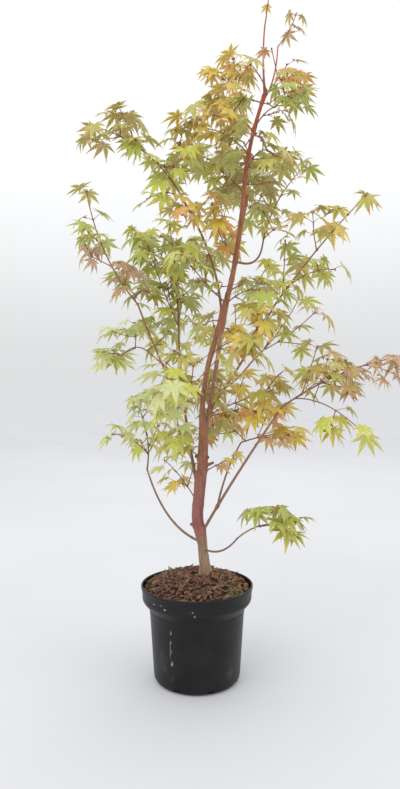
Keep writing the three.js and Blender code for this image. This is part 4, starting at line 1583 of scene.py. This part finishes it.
    def build(self) -> None:
        """Builds the trunk's skin and the boughs' skin."""
        trunk = self.trunk_axis()
        axes = {"trunk": trunk}
        for name, limb in self.limbs.items():
            if limb.curve is not None:
                axes[name] = self.bough_axis(limb)
        stems = {name: [] for name in axes}
        for mass in self.masses:
            if mass.spec.height is not None:
                curve = mass.sprays[0].curve
                radii = np.full(STEM_STEPS + 1, TWIG_STEM * 0.95)
                stems[mass.spec.carrier].append(Axis(curve.points(STEM_STEPS), radii))
        materials = [TRUNK_BARK.material(), CUT_WOOD.material()]
        draft = Draft()
        stubs = [self.stub(draft, trunk, *stub) for stub in STUBS]
        children = [axes[n] for n, limb in self.limbs.items() if limb.carrier and limb.carrier.name == "trunk"
                    and not np.allclose(axes[n].points[0], trunk.points[-1])]
        relief = self.bark(trunk, self.trunk_sides, self.trunk_furrows, TRUNK_SEED) + self.flare(trunk)
        self.skin(draft, trunk, self.trunk_sides, relief, children + stems["trunk"] + stubs)
        draft.piece("trunk_bark", materials, "bark", ["trunk"])
        boughs = Draft()
        for number, (name, limb) in enumerate(self.limbs.items()):
            if limb.curve is None:
                continue
            axis = axes[name]
            relief = self.bark(axis, self.bough_sides, self.bough_furrows, BOUGH_SEED + 10 * number)
            met = [axes[n] for n, other in self.limbs.items() if other.carrier is limb]
            met += stems[name] + ([axes[limb.carrier.name]] if limb.radii[0] > 0 else [])
            self.skin(boughs, axis, self.bough_sides, relief, met, blunt=name == "second_stem")
        boughs.piece("bough_bark", [BOUGH_BARK.material(), materials[CUT], STEM_BARK_PAINTED_LIGHTER.material()], "stem",
                     [spec.name for spec in LIMBS])

    def skin(self, draft: Draft, axis: Axis, sides: int, relief: Point, met: Sequence[Axis],
             blunt: bool = False) -> None:
        """Lays a limb's skin with its relief and its collars.

        Args:
            draft: Its piece.
            axis: The limb's heart line.
            sides: Corners of a ring.
            relief: Radial offsets by ring and side.
            met: The limbs that meet it.
            blunt: Whether it is the second stem, with its own bark, painted lighter to offset the shade it
                falls in behind the trunk, and an old cut for an end.
        """
        reach = axis.radii[:, None] + relief
        plain, _ = tube(axis.points, reach, sides)
        swell = self.swelling(plain[:-2], met).reshape(reach.shape)
        limit = self.swell_limit * axis.radii[:, None]
        points, faces = tube(axis.points, reach + np.minimum(swell, limit), sides)
        # The second stem takes its own bark, painted lighter against the shade it falls in behind the trunk.
        coat = STEM if blunt else BARK
        ends = np.repeat([coat, CUT if blunt else coat], sides)
        draft.add(points, faces, [coat, ends])


# ---------------- foliage


@dataclass(frozen=True)
class Lobe:
    """A lobe of a leaf: its angle off the midrib, its reach and that of the bay beyond it."""

    angle: float
    reach: float
    bay: float


LOBES = (Lobe(0, 1.0, 0.3), Lobe(40, 0.93, 0.27), Lobe(81, 0.7, 0.18), Lobe(124, 0.38, 0.08))
LAST_BAY = 156.0
# Teeth of a lobe's margin: share of the way from bay to tip, and share of the lobe's full width there.
TEETH = ((0.12, 1.06), (0.17, 0.9), (0.29, 1.09), (0.34, 0.88), (0.46, 1.1), (0.51, 0.86), (0.63, 1.14),
         (0.68, 0.84), (0.82, 1.12))
TIP_FROM = 6
# Finishes of a blade's faces, and how much more the drier tints hang and fold.
BLADE, TIPS, UNDERSIDE = 0, 1, 2
LIMP = {Tint.RUST: 1.7, Tint.BROWN: 1.45, Tint.CORAL: 1.2}
LEAF_SEED, LEAF_CREASE = 900, 75.0
STALK_STEPS, STALK_SIDES, TWIG_SIDES, BUD_SIDES = 7, 6, 8, 6
BUD_SHARES, BUD_RADII = (0.0, 0.25, 0.5, 0.78, 1.0), (0.16, 0.3, 0.28, 0.15, 0.02)


class Blade:
    """The pattern that every leaf is cut to: seven toothed lobes, closed above and below."""

    THICKNESS = 0.45
    WIDTH, WIDEST = 0.13, 0.3
    SWING, STRAY_LIFT, STRAY_LENGTH, STRAY_TWIST = 4.5, 0.07, 0.035, 0.25
    FOLD, DROOP, CURL, CURL_FROM = (0.15, 0.5), (0.9, 1.35), (0.0, 0.5), 0.62

    def __init__(self) -> None:
        """Lays out the pattern's points and faces once."""
        self.places: list[tuple[float, ...]] = []
        self.faces: dict[int, list[tuple[int, ...]]] = {4: [], 3: []}
        self.finishes: dict[int, list[int]] = {4: [], 3: []}
        self.hearts = {side: self.point(0, 0.0, 0.0, 0.0, side) for side in (1, -1)}
        self.bays = {k: self.bay(k) for k in range(-len(LOBES), len(LOBES))}
        for k in range(1 - len(LOBES), len(LOBES)):
            self.cut(k)
        last = len(LOBES) - 1
        self.add_face((self.bays[last], self.hearts[-1], self.hearts[1]), BLADE)
        self.add_face((self.bays[-last - 1], self.hearts[1], self.hearts[-1]), BLADE)
        self.table = np.array(self.places, float).T

    def point(self, lobe: int, along: float, aside: float, loose: float, side: float) -> int:
        """Adds a point: its lobe, its place along and off the rib, how freely it moves, and its side."""
        self.places.append((lobe, along, aside, loose, side))
        return len(self.places) - 1

    @staticmethod
    def bay_place(k: int) -> tuple[float, float]:
        """Angle and reach of the bay that follows lobe k, counted from the left.

        Args:
            k: The number of the lobe.

        Returns:
            Its angle in degrees and its reach.
        """
        inner = k if k >= 0 else -k - 1
        outer = LOBES[inner + 1].angle if inner + 1 < len(LOBES) else 2 * LAST_BAY - LOBES[inner].angle
        angle = (LOBES[inner].angle + outer) / 2
        return (angle if k >= 0 else -angle), LOBES[inner].bay

    def bay(self, k: int) -> int:
        """Adds the bay that follows lobe k.

        Args:
            k: The number of the lobe.

        Returns:
            The point's index.
        """
        angle, reach = self.bay_place(k)
        own = k if k >= 0 else k + 1
        turn = math.radians(angle - math.copysign(LOBES[abs(own)].angle, own))
        return self.point(own, reach * math.cos(turn), reach * math.sin(turn), 0.0, 0.0)

    def cut(self, k: int) -> None:
        """Cuts lobe k between the bays on its two sides.

        Args:
            k: The number of the lobe.
        """
        lobe = LOBES[abs(k)]
        own = math.copysign(lobe.angle, k)
        feet = []
        for after in (k, k - 1):
            angle, reach = self.bay_place(after)
            turn = math.radians(angle - own)
            feet.append((reach * math.cos(turn), reach * math.sin(turn)))
        tip = self.point(k, lobe.reach, 0.0, 1.0, 0.0)
        width = self.WIDTH * lobe.reach**0.8
        ribs = {side: [self.point(k, sum(foot[0] for foot in feet) / 2, 0.0, 0.0, side)] for side in (1, -1)}
        for share, _ in TEETH:
            rho = sum(foot[0] + share * (lobe.reach - foot[0]) for foot in feet) / 2
            for side in (1, -1):
                ribs[side].append(self.point(k, rho, 0.0, share, side))
        for (rho0, half0), bay in zip(feet, (self.bays[k], self.bays[k - 1])):
            margin = [bay]
            for share, tooth in TEETH:
                grown = min(share / self.WIDEST, 1.0)
                half = abs(half0) + (width - abs(half0)) * grown * (2 - grown)
                fall = max(share - self.WIDEST, 0.0) / (1 - self.WIDEST)
                half *= (1 - fall) * (1 - 0.3 * fall) * tooth
                margin.append(self.point(k, rho0 + share * (lobe.reach - rho0), math.copysign(half, half0),
                                         share, 0.0))
            self.close(ribs, margin, tip, half0 > 0)

    def close(self, ribs: dict[int, list[int]], margin: list[int], tip: int, left: bool) -> None:
        """Closes the blade between a lobe's rib and one of its margins, above and below.

        Args:
            ribs: The rib's points by side.
            margin: The margin's points from bay to tip.
            tip: The tip's point.
            left: Whether the margin is the left one.
        """
        for side in (1, -1):
            rib = ribs[side]
            faces = [(self.hearts[side], rib[0], margin[0])]
            faces += [(rib[j], rib[j + 1], margin[j + 1], margin[j]) for j in range(len(TEETH))]
            faces.append((rib[-1], tip, margin[-1]))
            for j, face in enumerate(faces):
                finish = UNDERSIDE if side < 0 else TIPS if j > TIP_FROM else BLADE
                self.add_face(face[::-1] if left == (side > 0) else face, finish)

    def add_face(self, face: tuple[int, ...], finish: int) -> None:
        """Adds a face with the index of its finish."""
        self.faces[len(face)].append(face)
        self.finishes[len(face)].append(finish)

    def shaped(self, leaf: Leaf, draw: np.random.Generator, limp: float) -> Point:
        """The pattern's points bent, folded and hung as one leaf.

        Args:
            leaf: The leaf.
            draw: The stream of the leaf's own shape.
            limp: How far it hangs and folds beside a fresh leaf.

        Returns:
            Its points in millimetres.
        """
        lobes, along, aside, loose, side = self.table
        count = 2 * len(LOBES) - 1
        swing = np.radians(draw.normal(0, self.SWING, count))
        lift = draw.normal(0, self.STRAY_LIFT, count) * limp
        stretch = 1 - np.abs(draw.normal(0, self.STRAY_LENGTH, count))
        twist = draw.normal(0, self.STRAY_TWIST, count) * limp
        fold = draw.uniform(*self.FOLD) * limp
        droop = LOBE_DROOP * draw.uniform(*self.DROOP) * limp
        curl = draw.uniform(*self.CURL) * limp
        k = lobes.astype(int) + len(LOBES) - 1
        angles = np.array([math.copysign(LOBES[abs(n)].angle, n) for n in range(1 - len(LOBES), len(LOBES))])
        turn = np.radians(angles)[k] + swing[k] * loose
        out = along * (1 + (stretch[k] - 1) * loose)
        flat_u = out * np.cos(turn) - aside * np.sin(turn)
        flat_v = out * np.sin(turn) + aside * np.cos(turn)
        rho = np.hypot(flat_u, flat_v)
        above = fold * np.abs(aside) - droop * rho**2 + lift[k] * rho**2 + twist[k] * aside * loose
        above -= curl * np.maximum(rho - self.CURL_FROM, 0) ** 2
        above += side * self.THICKNESS / 2 / leaf.length
        place = flat_u[:, None] * leaf.midrib + flat_v[:, None] * leaf.across + above[:, None] * leaf.normal
        return leaf.base + leaf.length * place


@dataclass
class Foliage:
    """Leaves, stalks, twigs and buds, each kind joined, the leaves by tint."""

    masses: list[Mass]
    limbs: dict[str, Limb]
    turning_share: float = 0.6
    girth: float = 0.72

    def build(self) -> None:
        """Builds every piece of the crown."""
        self.build_leaves()
        self.build_stalks()
        self.build_twigs()
        self.build_buds()

    def build_leaves(self) -> None:
        """Cuts the leaves of each tint and joins them."""
        blade = Blade()
        faces = [np.array(table) for table in blade.faces.values()]
        finishes = [np.array(table) for table in blade.finishes.values()]
        plain = [np.where(table == TIPS, BLADE, table) for table in finishes]
        for number, tint in enumerate(Tint):
            draft = Draft()
            draw = np.random.default_rng(LEAF_SEED + number)
            nodes = []
            for mass in self.masses:
                for leaf in (leaf for leaf in mass.leaves if leaf.tint is tint):
                    points = blade.shaped(leaf, draw, LIMP.get(tint, 1.0))
                    turning = draw.uniform() < self.turning_share
                    draft.add(points, faces, finishes if turning else plain)
                    nodes.append(mass.spec.name)
            draft.piece(f"{tint.value}_leaves", LEAF_FINISHES[tint].materials(tint), tint.value,
                        sorted(set(nodes)), crease=LEAF_CREASE)

    def build_stalks(self) -> None:
        """Bends each leaf's stalk from its node to its base, and joins them."""
        draft = Draft()
        shares = np.linspace(0, 1, STALK_STEPS + 1)
        for leaf in (leaf for mass in self.masses for leaf in mass.leaves):
            span = leaf.base - leaf.node
            length = float(np.linalg.norm(span))
            bow = Bow(leaf.node, leaf.base + leaf.midrib * 0.6, UP * 0.05 * length - span * 0.02)
            radii = 0.42 + 0.4 * (1 - shares) ** 3 + 0.16 * shares**6
            draft.add(*tube(bow.points(STALK_STEPS), radii, STALK_SIDES))
        draft.piece("leaf_stalks", [STALK_SKIN.material()], "stem")

    def twig_radii(self, twig: Twig, shares: Point, start: float) -> Point:
        """A twig's radii, with a swelling at each node.

        Args:
            twig: The twig.
            shares: Shares of its length.
            start: Its radius at the base.

        Returns:
            The radii.
        """
        radii = start + (twig.radius[1] * self.girth - start) * shares
        steps = len(twig.rings) - 1
        length = twig.curve.length()
        for i in range(1, steps + 1):
            radii = radii + 0.3 * bump((shares - i / steps) * length + NODE_SINK, 2.4)
        return radii

    def build_twigs(self) -> None:
        """Lays the stems, sprays and shoots as smooth twigs, and joins them."""
        draft = Draft()
        for mass in self.masses:
            spec = mass.spec
            for number, twig in enumerate(mass.sprays + mass.shoots):
                start = twig.radius[0] * self.girth
                if number == 0 and spec.height is None:
                    start = float(self.limbs[spec.carrier].radii[-1])
                steps = max(8, int(twig.curve.length() / 3.2))
                shares = np.linspace(0, 1, steps + 1)
                radii = self.twig_radii(twig, shares, start)
                if number or spec.height is not None:
                    radii = radii + 0.5 * start * np.exp(-shares * twig.curve.length() / 6)
                draft.add(*tube(twig.curve.points(steps), radii, TWIG_SIDES))
        draft.piece("twigs", [TWIG_BARK.material()], "stem", [spec.name for spec in MASSES])

    def build_buds(self) -> None:
        """Sets small pointed buds in pairs at the nodes and at the twigs' tips, and joins them."""
        draft = Draft()
        for mass in self.masses:
            for twig in mass.sprays + mass.shoots:
                for i in range(1, len(twig.rings)):
                    along = unit(twig.rings[i] - twig.rings[i - 1])
                    side = turned(unit(np.cross(along, UP)), along, math.pi / 2 * i)
                    tip = i == len(twig.rings) - 1
                    node = twig.rings[i] - along * (0.0 if tip else NODE_SINK)
                    for way in (1, -1):
                        aim = unit(along * (1.6 if tip else 1.0) + side * way * 0.7)
                        self.bud(draft, node + side * way * TWIG_TIP * 0.75, aim, 4.2 if tip else 3.2)
        draft.piece("buds", [BUD_SCALES.material()], "stem")

    @staticmethod
    def bud(draft: Draft, foot: Point, aim: Point, length: float) -> None:
        """Adds one bud, an egg with a pointed tip."""
        places = np.array(BUD_SHARES) * length
        draft.add(*tube(foot + aim * places[:, None], length * np.array(BUD_RADII), BUD_SIDES))


# ---------------- pot and mulch


def rounded(corners: Sequence[Triple], steps: int = 5) -> Point:
    """An outline through corners, each rounded by a short curve.

    Args:
        corners: Radius, height and rounding of each corner.
        steps: Points on each short curve.

    Returns:
        The outline's points.
    """
    points = []
    for i, (x, z, cut) in enumerate(corners):
        here = np.array([x, z])
        if cut <= 0:
            points.append(here)
            continue
        before = np.array(corners[i - 1][:2]) - here
        after = np.array(corners[i + 1][:2]) - here
        start = here + before * min(0.45, cut / np.linalg.norm(before))
        end = here + after * min(0.45, cut / np.linalg.norm(after))
        for share in np.linspace(0, 1, steps):
            points.append((1 - share) ** 2 * start + 2 * share * (1 - share) * here + share**2 * end)
    return np.array(points)


@dataclass
class NurseryPot:
    """The black four-litre pot: a tapered wall, a flared collar with a rolled rim, and a notched foot."""

    sides: int = 192
    base: float = 70.0
    foot: float = 79.0
    neck: float = 86.5
    neck_height: float = 130.0
    collar: float = 99.5
    collar_height: float = 145.0
    rim: float = 102.5
    height: float = 172.0
    wall: float = 1.6
    floor: float = 3.0
    notches: int = 8
    notch_turn: float = 18.9
    notch: Triple = (14.0, 11.0, 16.0)
    drains: int = 8
    drain: float = 5.0
    drain_ring: float = 0.55
    seams: tuple[float, float] = (52.0, 232.0)
    seam: tuple[float, float] = (0.28, 0.9)
    crisp: float = 38.0

    def outline(self) -> Point:
        """The wall's outline, from the middle of the underside round to the middle of the floor inside.

        Returns:
            Points of radius and height.
        """
        b, f, n, c, r, h, w = self.base, self.foot, self.neck, self.collar, self.rim, self.height, self.wall
        low, high = self.neck_height, self.collar_height
        return rounded([
            (0, 1.6, 0), (b - 14, 1.6, 1.2), (b - 12, 0, 1.2), (b, 0, 3), (f - 2.2, 3, 3.4), (f, 10, 3),
            (n - 0.25, low - 8, 1.2), (n + 0.55, low - 6.5, 1), (n + 0.2, low, 3), (c, high, 3.2),
            (c + 0.9, high + 7, 1), (c + 0.35, high + 8, 0.8), (r - 0.9, h - 6, 1.2), (r, h - 4.6, 1.4),
            (r, h - 0.8, 0.8), (r - 0.9, h, 0.8), (r - 2.6, h, 0.8), (r - 3.2, h - 1.4, 0.8),
            (c - w, high, 3), (n - w, low, 3), (f - w, 10, 4), (f - w - 6, self.floor, 2), (0, self.floor, 0),
        ])

    def build(self) -> None:
        """Turns the wall, cuts the notches and drains, and sets the parting lines."""
        outline = self.outline()
        inner = outline[1:-1]
        turns = 2 * np.pi * np.arange(self.sides) / self.sides
        rings = np.stack([inner[:, :1] * np.cos(turns), inner[:, :1] * np.sin(turns),
                          np.repeat(inner[:, 1:], self.sides, axis=1)], axis=2)
        away = np.min([np.abs(turns - np.radians(turn)) for turn in self.seams], axis=0)
        seam = self.seam[0] * bump(np.degrees(away), self.seam[1])
        # The parting lines run up the outside only, from above the foot to the rim.
        outer = ((inner[:, 1] > 11) & (np.arange(len(inner)) < int(0.62 * len(inner))))[:, None]
        grow = 1 + outer * seam[None] / np.maximum(inner[:, :1], 1)
        rings[:, :, :2] *= grow[:, :, None]
        points = np.vstack([rings.reshape(-1, 3), [[0, 0, outline[0, 1]], [0, 0, outline[-1, 1]]]])
        draft = Draft()
        draft.add(points, [ring_walls(len(inner), self.sides), ring_ends(len(inner), self.sides)])
        pot = draft.piece("pot_shell", [PotPlastic().material()], "pot", ["pot"])
        self.cut(pot)

    def cut(self, pot: bpy.types.Object) -> None:
        """Cuts the foot's notches and the drain holes, and smooths the shell but for its crisp edges.

        Args:
            pot: The pot's shell.
        """
        cutter = Draft()
        for k in range(self.notches):
            turn = math.radians(self.notch_turn) + 2 * math.pi * k / self.notches
            self.box(cutter, (self.foot, 0, 0), self.notch, turn)
        for k in range(self.drains):
            turn = 2 * math.pi * (k + 0.3) / self.drains
            heart = np.array([math.cos(turn), math.sin(turn), 0]) * self.base * self.drain_ring
            path = heart + UP * np.linspace(-4, 8, 3)[:, None]
            cutter.add(*tube(path, np.full(3, self.drain), 24))
        tool = cutter.piece("pot_cutter", [], "pot")
        trim = pot.modifiers.new("cuts", "BOOLEAN")
        trim.object, trim.solver, trim.operation = tool, "EXACT", "DIFFERENCE"
        bpy.context.view_layer.update()
        whole = bpy.data.meshes.new_from_object(pot.evaluated_get(bpy.context.evaluated_depsgraph_get()))
        pot.modifiers.clear()
        pot.data = whole
        whole.name = "pot_shell"
        bpy.data.objects.remove(tool)
        whole.shade_smooth()
        whole.set_sharp_from_angle(angle=math.radians(self.crisp))

    @staticmethod
    def box(draft: Draft, centre: Sequence[float], size: Sequence[float], turn: float) -> None:
        """Adds a block that is centred at a place and then turned about the pot's axis.

        Args:
            draft: Its piece.
            centre: Its centre before the turn.
            size: Its three sides.
            turn: The turn in radians.
        """
        signs = np.array([(x, y, z) for x in (-1, 1) for y in (-1, 1) for z in (-1, 1)], float)
        points = np.array(centre) + signs * np.array(size) / 2
        cos, sin = math.cos(turn), math.sin(turn)
        points = points @ np.array([[cos, sin, 0], [-sin, cos, 0], [0, 0, 1]])
        draft.add(points, [np.array([(0, 1, 3, 2), (4, 6, 7, 5), (0, 4, 5, 1), (2, 3, 7, 6), (0, 2, 6, 4),
                                     (1, 5, 7, 3)])])


class ChipKind(Enum):
    """Kinds of chips in the mulch."""

    RED = "red"
    BROWN = "brown"
    TAN = "tan"
    ORANGE = "orange"
    MOSSY = "mossy"


CHIP_FINISHES = dict(zip(ChipKind, (RED_CHIP, BROWN_CHIP, TAN_CHIP, ORANGE_CHIP, MOSSY_CHIP)))
# Least and most length, width and thickness of shreds and of chips, and the share of shreds.
SHRED_SIZE, CHIP_SIZE = ((13, 33), (2, 4.6), (1, 2.4)), ((7, 19), (4, 9), (1.6, 4.2))
SHRED_SHARE, CHIP_CREASE = 0.62, 24.0
# A chip's layers from below upwards: share of its thickness and share of its outline.
CHIP_LAYERS = ((-0.5, 0.8), (-0.15, 1.0), (0.2, 0.97), (0.5, 0.74))
# Where moss grows: to the right, to the back, and how far round.
MOSSY_PATCHES = ((58, -52, 17), (-42, 50, 22))
MOSSY_SHARE, ORANGE_SHARE, RED_SHARE, BROWN_SHARE = 0.6, 0.3, 0.52, 0.89
# The soil's lumps and clods: cells round the bed, rows, depth in millimetres and rings to a cell.
SOIL_LUMPS = ((40, 64, 2.0, 2.2), (90, 128, 1.1, 0.9))


@dataclass
class Mulch:
    """The mound in the pot: a rough bed of soil under shreds and chips of bark."""

    radius: float = 97.0
    edge: float = 161.0
    crown: float = 188.0
    crown_radius: float = 30.0
    chips: int = 1000
    seed: int = 77
    rings: int = 60
    sides: int = 160
    skirt: float = 14.0

    def rise(self, radii: Point) -> Point:
        """The mound's height at distances from its middle."""
        share = np.clip((self.radius - radii) / (self.radius - self.crown_radius), 0, 1)
        return self.edge + (self.crown - self.edge) * np.sin(share * np.pi / 2)

    def build(self) -> None:
        """Builds the bed and the chips."""
        self.build_bed()
        self.build_chips()

    def build_bed(self) -> None:
        """Lays the soil, lumpy on top and closed below."""
        radii = self.radius * np.linspace(1, 0.01, self.rings)
        turns = np.arange(self.sides) / self.sides
        layers = [(Grain(self.seed + number, around, rows), depth, length)
                  for number, (around, rows, depth, length) in enumerate(SOIL_LUMPS)]
        points = []
        for i, radius in enumerate(radii):
            height = self.rise(np.full(self.sides, radius))
            near = radius / self.radius
            for grain, depth, length in layers:
                height = height + near * depth * grain.at(turns, np.full(self.sides, i / length))
            angle = 2 * np.pi * turns
            points.append(np.stack([radius * np.cos(angle), radius * np.sin(angle), height], 1))
        skirt = points[0].copy()
        skirt[:, 2] = self.edge - self.skirt
        skirt[:, :2] *= 0.985
        rings = np.vstack([skirt[None], np.array(points)])
        flat = np.vstack([rings.reshape(-1, 3), [[0, 0, self.edge - self.skirt], [0, 0, self.crown]]])
        draft = Draft()
        draft.add(flat, [ring_walls(len(rings), self.sides), ring_ends(len(rings), self.sides)])
        draft.piece("soil_bed", [SOIL_BED.material()], "soil", ["soil"])

    def build_chips(self) -> None:
        """Scatters chips and shreds over the bed, redder to the left and more orange to the right."""
        draw = np.random.default_rng(self.seed + 2)
        drafts = {kind: Draft() for kind in ChipKind}
        for _ in range(self.chips):
            radius = self.radius * 0.985 * math.sqrt(draw.uniform(0.012, 1))
            turn = draw.uniform(0, 2 * math.pi)
            x, y = radius * math.cos(turn), radius * math.sin(turn)
            kind = self.kind_at(x, y, draw)
            spans = SHRED_SIZE if draw.uniform() < SHRED_SHARE else CHIP_SIZE
            size = np.array([draw.uniform(*span) for span in spans])
            if radius + size[0] * 0.45 > self.radius:
                size[0] = max(5.0, 2 * (self.radius - radius))
            height = float(self.rise(np.array([radius]))[0]) + draw.uniform(0.4, 3.4)
            self.chip(drafts[kind], np.array([x, y, height]), size, draw)
        for kind, finish in CHIP_FINISHES.items():
            drafts[kind].piece(f"mulch_{kind.value}", [finish.material()], "soil", crease=CHIP_CREASE)

    @staticmethod
    def kind_at(x: float, y: float, draw: np.random.Generator) -> ChipKind:
        """Deals out the kind of chip at a place.

        Args:
            x: How far to the right the place lies.
            y: How far to the back it lies.
            draw: The stream of the chips.

        Returns:
            The kind.
        """
        share = draw.uniform()
        if any(math.hypot(x - right, y - back) < reach for right, back, reach in MOSSY_PATCHES):
            return ChipKind.MOSSY if share < MOSSY_SHARE else ChipKind.BROWN
        if x > 22 and abs(y) < 60 and share < ORANGE_SHARE:
            return ChipKind.ORANGE
        if share < RED_SHARE:
            return ChipKind.RED
        return ChipKind.BROWN if share < BROWN_SHARE else ChipKind.TAN

    @staticmethod
    def chip(draft: Draft, centre: Point, size: Point, draw: np.random.Generator) -> None:
        """Adds one chip: a split flake with a ragged outline, tapered and bevelled, lying at a slant.

        Args:
            draft: Its piece.
            centre: Its centre.
            size: Its length, width and thickness.
            draw: The stream of the chips.
        """
        count = int(draw.integers(6, 9))
        turns = (np.arange(count) + draw.uniform(-0.28, 0.28, count)) * 2 * math.pi / count
        ragged = draw.uniform(0.72, 1.12, count)
        outline = np.stack([np.cos(turns) * ragged, np.sin(turns) * ragged], 1)
        layers = []
        for share, inset in CHIP_LAYERS:
            wobble = draw.uniform(-0.12, 0.12, count)
            layer = np.column_stack([outline * inset, np.full(count, share) + wobble])
            layers.append(layer * size / np.array([2, 2, 1]))
        points = np.vstack(layers)
        points[:, 2] += 0.012 * size[0] * draw.uniform(-1, 1) * (2 * points[:, 0] / size[0]) ** 2 * 4
        yaw, pitch, roll = draw.uniform(0, 2 * math.pi), draw.normal(0, 0.26), draw.normal(0, 0.3)
        spin = np.eye(3)
        for axis, angle in (((1, 0, 0), roll), ((0, 1, 0), pitch), ((0, 0, 1), yaw)):
            spin = np.array([turned(column, np.array(axis, float), angle) for column in spin])
        ring = np.arange(count)
        caps = [ring[::-1][None], (ring + (len(layers) - 1) * count)[None]]
        draft.add(centre + points @ spin, [ring_walls(len(layers), count), *caps])


# ---------------- studio


# Softboxes: name, place, side in metres and power in watts.
LAMPS = (
    ("key_softbox", (-1.3, -1.7, 2.3), 2.2, 20.0),
    ("fill_softbox", (2.1, -1.0, 1.5), 2.2, 8.0),
    ("back_softbox", (0.6, 2.4, 2.4), 2.6, 10.0),
)
LAMP_COLOUR, LAMP_AIM = (1.0, 0.985, 0.96), (0.05, 0.0, 0.6)
# The sky's brightness by height, and how much bluer it is than grey.
SKY_STOPS, SKY_HUE = ((0.0, 0.74), (0.35, 1.02)), (1.0, 1.01, 1.02)


@dataclass
class Studio:
    """A plain pale floor under soft light, and the camera."""

    floor_radius: float = 30.0
    camera_place: Triple = (0.0055, -1.175, 0.544)
    focal_share: float = 638 / 789
    horizon_shift: float = -13.5 / 789
    sensor: float = 36.0
    floor_sides: int = 96
    floor_drop: float = 0.0004

    def build(self) -> None:
        """Builds the floor, the lights and the camera."""
        self.build_floor()
        self.build_sky()
        for lamp in LAMPS:
            self.build_lamp(*lamp)
        self.build_camera()

    def build_floor(self) -> None:
        """Lays the floor."""
        turns = 2 * np.pi * np.arange(self.floor_sides) / self.floor_sides
        mesh = bpy.data.meshes.new("floor")
        ring = [(self.floor_radius * math.cos(t), self.floor_radius * math.sin(t), -self.floor_drop)
                for t in turns]
        mesh.from_pydata(ring, [], [range(self.floor_sides)])
        mesh.materials.append(FLOOR_PAINT.material())
        placed("floor", mesh)

    @staticmethod
    def build_sky() -> None:
        """Sets the even pale light all round."""
        world = bpy.data.worlds.new("studio")
        world.use_nodes = True
        tree = world.node_tree
        sky = tree.nodes["Background"]
        place, split, rise = (add_node(tree, kind) for kind in ("TexCoord", "SeparateXYZ", "ValToRGB"))
        rise.color_ramp.interpolation = "EASE"
        for stop, (height, value) in zip(rise.color_ramp.elements, SKY_STOPS):
            stop.position, stop.color = height, (*(value * hue for hue in SKY_HUE), 1)
        link(tree, (place, "Generated", split, 0), (split, "Z", rise, "Fac"), (rise, "Color", sky, "Color"))
        bpy.context.scene.world = world
        bpy.context.scene.view_settings.view_transform = "Standard"

    @staticmethod
    def build_lamp(name: str, place: Triple, size: float, power: float) -> None:
        """Hangs a square softbox that faces the crown.

        Args:
            name: Its name.
            place: Its place.
            size: The length of its side.
            power: Its power in watts.
        """
        lamp = bpy.data.lights.new(name, "AREA")
        lamp.size, lamp.energy = size, power
        lamp.color = LAMP_COLOUR
        box = placed(name, lamp)
        box.location = place
        aim = Vector(LAMP_AIM) - box.location
        box.rotation_euler = aim.to_track_quat("-Z", "Y").to_euler()

    def build_camera(self) -> None:
        """Sets up the camera, level, with its horizon a little above the middle."""
        camera = bpy.data.cameras.new("camera")
        camera.sensor_width = self.sensor
        camera.lens = self.focal_share * self.sensor
        camera.shift_y = self.horizon_shift
        camera.clip_start, camera.clip_end = 0.05, 100
        stand = placed("camera", camera)
        stand.location = self.camera_place
        stand.rotation_euler = (math.pi / 2, 0, 0)
        bpy.context.scene.camera = stand


def main() -> None:
    """Builds the potted maple and its studio, piece by piece."""
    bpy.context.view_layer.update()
    limbs = grow_limbs()
    gardener = Gardener(limbs)
    log.info("leaves: %d as in the solids, %d in all", gardener.solid_leaves, gardener.crown.leaves)
    NurseryPot().build()
    Mulch().build()
    Woodwork(limbs, gardener.masses).build()
    Foliage(gardener.masses, limbs).build()
    Studio().build()
    bpy.context.view_layer.update()


if __name__ == "__main__":
    main()
